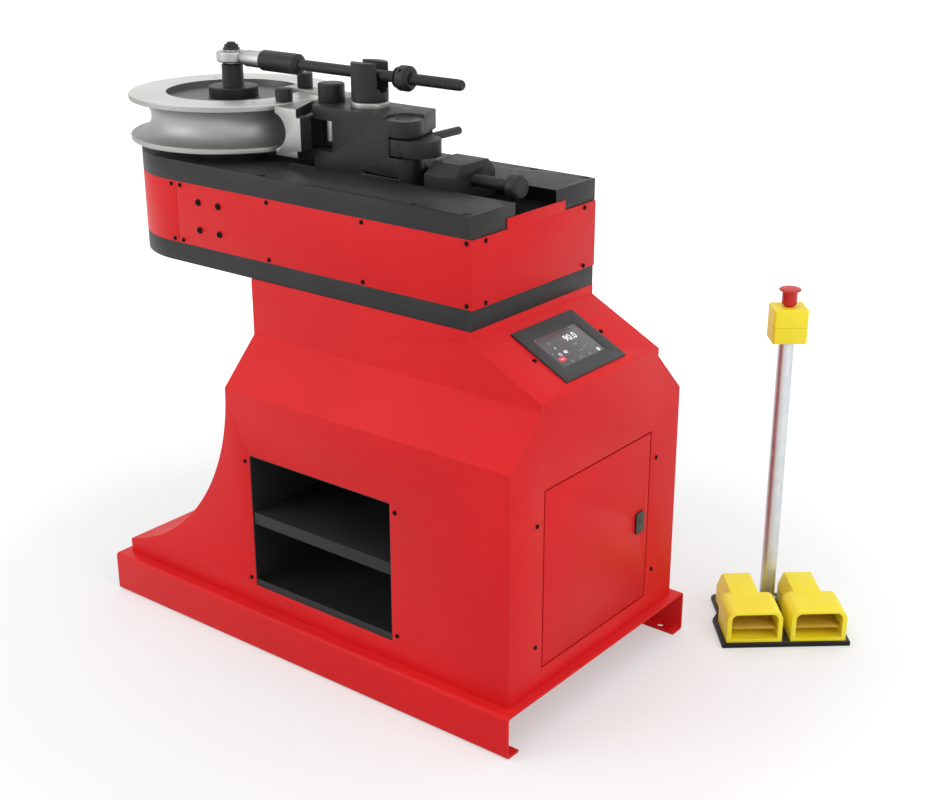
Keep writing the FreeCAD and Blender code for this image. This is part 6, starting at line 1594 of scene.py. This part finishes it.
@dataclass
class SocketScrews:
    """Button-head socket screws, modelled once and set where the model has them.

    The shares are shares of a head's own radius or height.
    """

    node: str
    dome_share: float = 0.7
    socket_share: float = 0.48
    socket_floor: float = 0.45

    def heads(self) -> list[tuple[Vector, Vector, float, float]]:
        """Finds the screw heads among the node's separate solids.

        Returns:
            For each head the middle of its seat, the way out, its radius and its height.
        """
        found = []
        for points, out in self.shells(bpy.data.objects[self.node].data):
            along = [p.dot(out) for p in points]
            middle = sum(points, Vector()) / len(points)
            low, high = min(along), max(along)
            radius = max((p - middle - out * (p - middle).dot(out)).length for p in points)
            seat = middle + out * (low - middle.dot(out))
            found.append((seat, out, radius, high - low))
        return found

    @staticmethod
    def shells(mesh: bpy.types.Mesh) -> list[tuple[list[Vector], Vector]]:
        """Splits loose triangles into solids.

        Args:
            mesh: the mesh of a group of screws.

        Returns:
            The corners of each solid, and the normal of its largest flat face.
        """
        work = bmesh.new()
        work.from_mesh(mesh)
        bmesh.ops.remove_doubles(work, verts=work.verts, dist=1e-6)
        left, groups = set(work.verts), []
        while left:
            stack, shell = [next(iter(left))], set()
            while stack:
                vertex = stack.pop()
                if vertex in shell:
                    continue
                shell.add(vertex)
                stack += [edge.other_vert(vertex) for edge in vertex.link_edges]
            left -= shell
            sums: dict[Triple, float] = {}
            for face in {f for v in shell for f in v.link_faces}:
                key = tuple(round(c, 2) + 0.0 for c in face.normal)
                sums[key] = sums.get(key, 0.0) + face.calc_area()
            seat = Vector(max(sums, key=lambda k: (round(sums[k], 9), k))).normalized()
            groups.append(([v.co.copy() for v in shell], -seat))
        work.free()
        return sorted(groups, key=lambda g: tuple(round(c, 5) for c in g[0][0]))

    def head(self, radius: float, height: float) -> Workpiece:
        """Models one head standing on the origin.

        Args:
            radius: its radius.
            height: its height.

        Returns:
            The head with its hexagon socket.
        """
        piece = Workpiece.bar("screw_head", radius, (0, 0, 0), (0, 0, height), 28)
        piece.round_edges(lambda middle, way: middle.z > height - 0.01 and abs(way.z) < 0.5,
                          min(self.dome_share * height, 0.45 * radius), 4)
        socket = Workpiece.bar("socket", radius * self.socket_share,
                               (0, 0, height * self.socket_floor), (0, 0, height + 2), 6)
        return piece.cut(socket)

    def build(self) -> None:
        """Places a copy of the head at every screw of the node."""
        masters: dict[Point, Workpiece] = {}
        copies = []
        for seat, out, radius, height in self.heads():
            key = (round(radius / MM, 1), round(height / MM, 1))
            if key not in masters:
                masters[key] = self.head(*key)
            obj = masters[key].obj.copy()
            obj.data = obj.data.copy()
            bpy.context.scene.collection.objects.link(obj)
            turn = Vector((0, 0, 1)).rotation_difference(out).to_matrix().to_4x4()
            copies.append(Workpiece(obj).place(Matrix.Translation(seat) @ turn))
        for master in masters.values():
            bpy.data.objects.remove(master.obj)
        piece = copies[0].gather(*copies[1:]).named("socket_" + self.node)
        piece.settle(Body.MACHINE, "screw_black", SCREW_BLACK, [self.node])


@dataclass
class FootControl:
    """The foot control: plate, two hooded pedals, and the stop button on its column."""

    corner_x: float = 805.0
    corner_y: float = 356.0
    angle: float = 40.25
    plate_width: float = 331.0
    plate_top: float = 12.0
    hood_width: float = 143.5
    hood_front: float = 6.0
    hood_depth: float = 113.0
    hood_height: float = 85.0
    hood_wall: float = 12.0
    hood_sill: float = 10.0
    hood_roof: float = 6.0
    hood_back: float = 12.0
    hood_margin: float = 11.0
    hood_corner: float = 22.0
    mouth_corner: float = 16.0
    rear_shift: float = 14.5
    rear_width: float = 100.0
    rear_lap: float = 20.0
    rear_depth: float = 133.0
    rear_shoulder: float = 48.0
    rear_height: float = 86.0
    rear_slope: float = 14.0
    ribs: int = 7
    rib_radius: float = 2.0
    rib_length: float = 100.0
    rib_pitch: float = 9.0
    rib_sunk: float = 0.6
    column_depth: float = 236.0
    tube: float = 20.0
    tube_flange: float = 24.0
    box_bottom: float = 752.0
    box_size: Triple = (88.0, 74.0, 90.0)
    box_seam: float = 42.0
    seam_width: float = 2.0
    seam_depth: float = 2.2
    screw_well: float = 3.0
    stem: float = 12.0
    collar: float = 19.0
    collar_bottom: float = 6.0
    button_rim: float = 28.0
    button_bottom: float = 41.0
    button_top: float = 49.0

    def matrix(self) -> Matrix:
        """Returns the matrix from the plate's own corner to the machine's frame."""
        corner = Vector((self.corner_x, self.corner_y, 0)) * MM
        return Matrix.Translation(corner) @ Matrix.Rotation(math.radians(self.angle), 4, "Z")

    def build(self) -> None:
        """Builds the plate, the hoods, the pedals and the stop button's stand."""
        Eased("foot_base", Body.MACHINE, "plate_black", FOOT_PLATE, 1.2, 3).build()
        starts = (self.hood_margin, self.plate_width - self.hood_margin - self.hood_width)
        hoods = [self.hood(a) for a in starts]
        hoods[0].gather(hoods[1])
        hoods[0].place(self.matrix()).settle(Body.MACHINE, "pedal_yellow", YELLOW,
                                             ["pedal_hoods"], 40)
        self.treadle("left_treadle", Body.LEFT_PEDAL)
        self.treadle("right_treadle", Body.RIGHT_PEDAL)
        self.column()
        self.box()
        self.button()

    def hood(self, a: float) -> Workpiece:
        """Models one hood: a rounded guard with a mouth, and the switch box behind it.

        Args:
            a: its left edge along the plate's front.

        Returns:
            The hood in the plate's own frame.
        """
        z0, z1 = self.plate_top, self.plate_top + self.hood_height
        front, back = self.hood_front, self.hood_front + self.hood_depth
        b, roof = a + self.hood_width, z1 - self.hood_roof
        guard = Workpiece.block("pedal_hood_pair", (a, front, z0), (b, back, z1))
        guard.round_edges(lambda m, way: abs(way.y) > 0.9 and m.z > z1 - 1, self.hood_corner, 8)
        guard.ease(1.4, 3, 35).join(self.switch_box(a + self.rear_shift, back - self.rear_lap))
        sill, wall = z0 + self.hood_sill, self.hood_wall
        mouth = Workpiece.block("mouth", (a + wall, front - 5, sill),
                                (b - wall, back - self.hood_back, roof))
        mouth.round_edges(lambda m, way: abs(way.y) > 0.9 and m.z > roof - 1,
                          self.mouth_corner, 8)
        mouth.round_edges(lambda m, way: abs(way.y) > 0.9 and m.z < sill + 2, 3, 3)
        return guard.cut(mouth)

    def switch_box(self, x: float, y: float) -> Workpiece:
        """Models the box behind a hood, with sloped shoulders.

        Args:
            x: its left side.
            y: its front.

        Returns:
            The box in the plate's own frame.
        """
        shoulder = self.plate_top + self.rear_shoulder
        top, back = self.plate_top + self.rear_height, y + self.rear_depth
        box = Workpiece.block("switch_box", (x, y, self.plate_top),
                              (x + self.rear_width, back, shoulder))
        box.pick(Pick.FACES, lambda m, n: n.z > 0.9)
        bpy.ops.mesh.extrude_region_move(
            TRANSFORM_OT_translate={"value": (0, 0, (top - shoulder) * MM)})
        share = 1 - 2 * self.rear_slope / self.rear_width
        middle = Vector((x + self.rear_width / 2, (y + back) / 2, top)) * MM
        bpy.ops.transform.resize(value=(share, 1, 1), center_override=middle)
        box.done()
        box.round_edges(lambda m, way: m.z > top - 1 and m.y > back - 1 and abs(way.x) > 0.9,
                        6, 1)
        return box.ease(2.2, 3, 12)

    def treadle(self, node: str, body: Body) -> None:
        """Adds rubber ribs to a treadle.

        Args:
            node: the treadle's node.
            body: the body that it moves with.
        """
        piece = Workpiece.copy_of(node, "ribbed_" + node).ease(0.8)
        plane = SlopeFrame.of(node)
        turn = Matrix.Rotation(math.radians(self.angle), 4, "Z")
        across, deep = turn @ Vector((1, 0, 0)), turn @ Vector((0, 1, 0))
        deep = (deep - plane.out * deep.dot(plane.out)).normalized()
        start = plane.middle / MM - plane.out * self.rib_sunk
        half = across * self.rib_length / 2
        ribs = []
        for number in range(self.ribs):
            middle = start + deep * (number - (self.ribs - 1) / 2) * self.rib_pitch
            ribs.append(Workpiece.bar("rib", self.rib_radius, tuple(middle - half),
                                      tuple(middle + half), 12))
        # The treadle's ochre, darker than the hoods, is painted shade under the hood.
        piece.gather(*ribs).settle(body, "pedal_yellow", TREAD_RUBBER_SHADED, [node])

    def column(self) -> None:
        """Spins the tube with its foot flange."""
        z0, z1, tube, flange = self.plate_top, self.box_bottom, self.tube, self.tube_flange
        profile = [(0, z0), (flange, z0), (flange, z0 + 6), (flange - 2, z0 + 8),
                   (tube, z0 + 8), (tube, z1), (0, z1)]
        piece = Workpiece.turned("stop_stand_tube", profile, 0.8, 64)
        self.stand(piece).settle(Body.MACHINE, "column_zinc", COLUMN_ZINC, ["stop_column"])

    def stand(self, piece: Workpiece) -> Workpiece:
        """Moves a piece from the origin's axis to the column's."""
        offset = Vector((self.plate_width / 2, self.column_depth, 0)) * MM
        return piece.place(self.matrix() @ Matrix.Translation(offset))

    def box(self) -> None:
        """Models the stop button's box: a rounded block with a parting groove and its bores."""
        z0 = self.box_bottom
        x, y = self.box_size[0] / 2, self.box_size[1] / 2
        z1, seam = z0 + self.box_size[2], z0 + self.box_seam
        seam_top = seam + self.seam_width
        piece = Workpiece.block("stop_button_box", (-x, -y, z0), (x, y, z1))
        piece.round_edges(lambda m, way: abs(way.z) > 0.9, 7, 6)
        piece.round_edges(lambda m, way: abs(way.z) < 0.1, 4.0, 3)
        for z in (seam, seam_top):
            piece.pick(Pick.FACES, lambda m, n: True)
            bpy.ops.mesh.bisect(plane_co=(0, 0, z * MM), plane_no=(0, 0, 1))
            piece.done()
        piece.sink(lambda m, n: abs(n.z) < 0.1 and seam < m.z < seam_top, self.seam_depth)
        for dx, dy in ((-1, -1), (-1, 1), (1, -1), (1, 1)):
            spot = (dx * (x - 11), dy * (y - 10))
            piece.cut(Workpiece.bar("cover_screw_well", self.screw_well, (*spot, z1 - 6),
                                    (*spot, z1 + 2), 20))
        piece.cut(Workpiece.bar("stem_bore", self.stem + 0.05, (0, 0, z1 - 36), (0, 0, z1 + 2),
                                40))
        self.stand(piece).settle(Body.MACHINE, "pedal_yellow", YELLOW, ["stop_box"], 30)

    def button(self) -> None:
        """Spins the mushroom button."""
        z = self.box_bottom + self.box_size[2]
        low, head, top = z + self.collar_bottom, z + self.button_bottom, z + self.button_top
        stem, collar, rim = self.stem, self.collar, self.button_rim
        profile = [(0, z - 30), (stem, z - 30), (stem, low), (collar, low), (collar, head - 5),
                   (collar + 2, head - 1.5), (rim - 2, head), (rim, head + 1.5),
                   (rim - 0.4, head + 3.5), (rim - 3, head + 5.5), (rim - 10, top - 1),
                   (rim - 20, top - 0.2), (0, top)]
        piece = Workpiece.turned("mushroom_button", profile, 1.0, 56)
        self.stand(piece).settle(Body.STOP_BUTTON, "button_red", BUTTON_RED, ["stop_button"],
                                 40)


@dataclass
class Electrics:
    """What stands on the plate behind the door."""

    slots: int = 7
    slot_border: float = 30.0
    slot_pitch: float = 9.0
    slot_height: float = 3.5
    slot_depth: float = 5.5
    dial: float = 13.0
    dial_across: float = 75.0
    dial_drop: float = 105.0
    dial_height: float = 7.0
    contactors: int = 4
    contactor_pitch: float = 49.0
    first_contactor: float = 37.5
    contactor_front: float = 8.0
    terminal: float = 3.4
    terminal_pitch: float = 13.0
    terminal_border: float = 8.0

    def build(self) -> None:
        """Builds the plate, the inverter and the row of contactors."""
        Eased("component_plate", Body.MACHINE, "galvanised", GALVANISED, 0.6).build()
        self.inverter()
        self.contactor_row()

    def inverter(self) -> None:
        """Adds cooling slots and a dial to the inverter's housing."""
        piece = Workpiece.copy_of("drive_inverter", "slotted_drive_inverter")
        low, high = (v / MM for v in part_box("drive_inverter"))
        tools = []
        for number in range(self.slots):
            z = low.z + self.slot_border + number * self.slot_pitch
            tools.append(Workpiece.block(
                "slot", (high.x - self.slot_depth, low.y + self.slot_border, z),
                (high.x + 1, high.y - self.slot_border, z + self.slot_height)))
        piece.ease(0.8).cut(*tools)
        spot, face = (low.y + self.dial_across, high.z - self.dial_drop), high.x + self.dial_height
        knob = Workpiece.bar("dial", self.dial, (high.x - 0.5, *spot), (face, *spot), 32)
        knob.round_edges(lambda m, way: m.x > face - 0.1 and abs(way.x) < 0.1, 2, 3)
        piece.gather(knob).settle(Body.MACHINE, "inverter_plastic", INVERTER_GREY,
                                  ["drive_inverter"])

    def contactor_row(self) -> None:
        """Adds the terminal screws to the contactors."""
        piece = Workpiece.copy_of("contactors", "wired_contactors").ease(0.6)
        housing = len(piece.obj.data.polygons)
        low, high = (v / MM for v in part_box("contactors"))
        front, screws = high.x - self.contactor_front, []
        for number in range(self.contactors):
            middle = low.y + self.first_contactor + number * self.contactor_pitch
            for row in (low.z + self.terminal_border, high.z - self.terminal_border):
                for side in (-1, 0, 1):
                    spot = (middle + side * self.terminal_pitch, row)
                    screws.append(Workpiece.bar("terminal", self.terminal, (front - 1, *spot),
                                                (front + 1.5, *spot), 16))
        piece.gather(*screws).mark(lambda face: face.index >= housing)
        piece.settle(Body.MACHINE, "contactor_plastic", [CONTACTOR_GREY, TERMINAL_BLACK],
                     ["contactors"])


@dataclass(frozen=True)
class Lamp:
    """A square soft lamp: place and aim in metres, width in metres, power in watts."""

    name: str
    place: Triple
    aim: Triple
    size: float
    power: float

    def hang(self) -> None:
        """Adds the lamp and turns it to its aim."""
        data = bpy.data.lights.new(self.name, "AREA")
        data.size, data.energy = self.size, self.power
        obj = bpy.data.objects.new(self.name, data)
        bpy.context.scene.collection.objects.link(obj)
        obj.location = self.place
        way = Vector(self.aim) - Vector(self.place)
        obj.rotation_euler = way.to_track_quat("-Z", "Y").to_euler()


@dataclass
class Studio:
    """Floor, world, lamps and the camera of the photograph."""

    position: Triple = (2404.4, -2715.0, 1982.75)
    azimuth: float = 38.05
    pitch: float = -20.92
    lens: float = 57.48
    sensor: float = 36.0
    room_light: float = 0.76
    floor_size: float = 80.0
    floor_drop: float = 0.0005
    floor_tone: Colour = (0.6, 0.62, 0.62)
    near_lift: Point = (1.1, 0.35)
    far_lift: Point = (2.8, 0.74)
    lamps: tuple[Lamp, ...] = (
        Lamp("overhead_lamp", (-0.5, -0.3, 5.0), (0, 0, 0.8), 5.6, 50.0),
        Lamp("left_lamp", (-3.5, -5.0, 3.2), (0, 0, 0.8), 3.5, 92.0),
        Lamp("right_lamp", (5.5, -0.5, 3.0), (0, 0, 0.8), 3.5, 78.0))

    def build(self) -> None:
        """Sets up everything round the machine."""
        self.camera()
        self.world()
        self.floor()
        for lamp in self.lamps:
            lamp.hang()
        bpy.context.scene.view_settings.view_transform = "Standard"

    def camera(self) -> None:
        """Places the camera at the photograph's viewpoint."""
        data = bpy.data.cameras.new("photo_camera")
        data.lens, data.sensor_width, data.sensor_fit = self.lens, self.sensor, "HORIZONTAL"
        data.clip_start, data.clip_end = 0.05, 200.0
        obj = bpy.data.objects.new("photo_camera", data)
        bpy.context.scene.collection.objects.link(obj)
        obj.location = Vector(self.position) * MM
        obj.rotation_euler = (math.radians(90 + self.pitch), 0, math.radians(self.azimuth))
        bpy.context.scene.camera = obj

    @staticmethod
    def seen(w: Wiring) -> bpy.types.NodeSocket:
        """Returns 1 for camera, glossy and transmission rays."""
        path = w.add("LightPath")
        either = w.math("MAXIMUM", path.outputs["Is Camera Ray"], path.outputs["Is Glossy Ray"])
        return w.math("MAXIMUM", either, path.outputs["Is Transmission Ray"])

    def world(self) -> None:
        """Makes a white room that lights softly and shows white."""
        world = bpy.data.worlds.new("white_room")
        bpy.context.scene.world = world
        world.use_nodes = True
        w = Wiring(world.node_tree)
        white = (*WHITE, 1.0)
        lit = w.add("Background", Color=white, Strength=self.room_light)
        shown = w.add("Background", Color=white, Strength=1.0)
        mix = w.add("MixShader")
        for socket, value in zip(mix.inputs, (self.seen(w), lit.outputs[0], shown.outputs[0])):
            w.feed(socket, value)
        w.add("OutputWorld", Surface=mix.outputs[0])

    def floor(self) -> None:
        """Lays the white floor, which keeps the object's shadow and fades into the room."""
        Workpiece.clear()
        bpy.ops.mesh.primitive_plane_add(size=self.floor_size,
                                         location=(0, 0, -self.floor_drop))
        piece = Workpiece.started("studio_floor")
        material = bpy.data.materials.new("studio_floor")
        material.use_nodes = True
        w = Wiring(material.node_tree)
        matt = w.add("BsdfDiffuse", Color=(*self.floor_tone, 1.0))
        lift = w.add("Emission", Color=(*WHITE, 1.0))
        far = w.vector("LENGTH", w.place()).outputs["Value"]
        level = w.spread(far, self.near_lift[0], self.far_lift[0], self.near_lift[1],
                         self.far_lift[1])
        w.put(lift, Strength=w.product(self.seen(w), level))
        both = w.add("AddShader")
        for socket, shader in zip(both.inputs, (matt, lift)):
            w.feed(socket, shader.outputs[0])
        w.add("OutputMaterial", Surface=both.outputs[0])
        piece.obj.data.materials.append(material)


def main() -> None:
    """Builds every sub-assembly in order."""
    logging.basicConfig(level=logging.INFO, format="%(name)s: %(message)s")
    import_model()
    screws = [SocketScrews(node) for node in ("cover_screws", "top_plate_screws",
                                              "cabinet_screws")]
    for assembly in (Studio(), Cabinet(), Door(), Head(), Drive(), ControlScreen(),
                     BendingDie(), TieRod(), Carriage(), *screws, FootControl(), Electrics()):
        assembly.build()


if __name__ == "__main__":
    main()
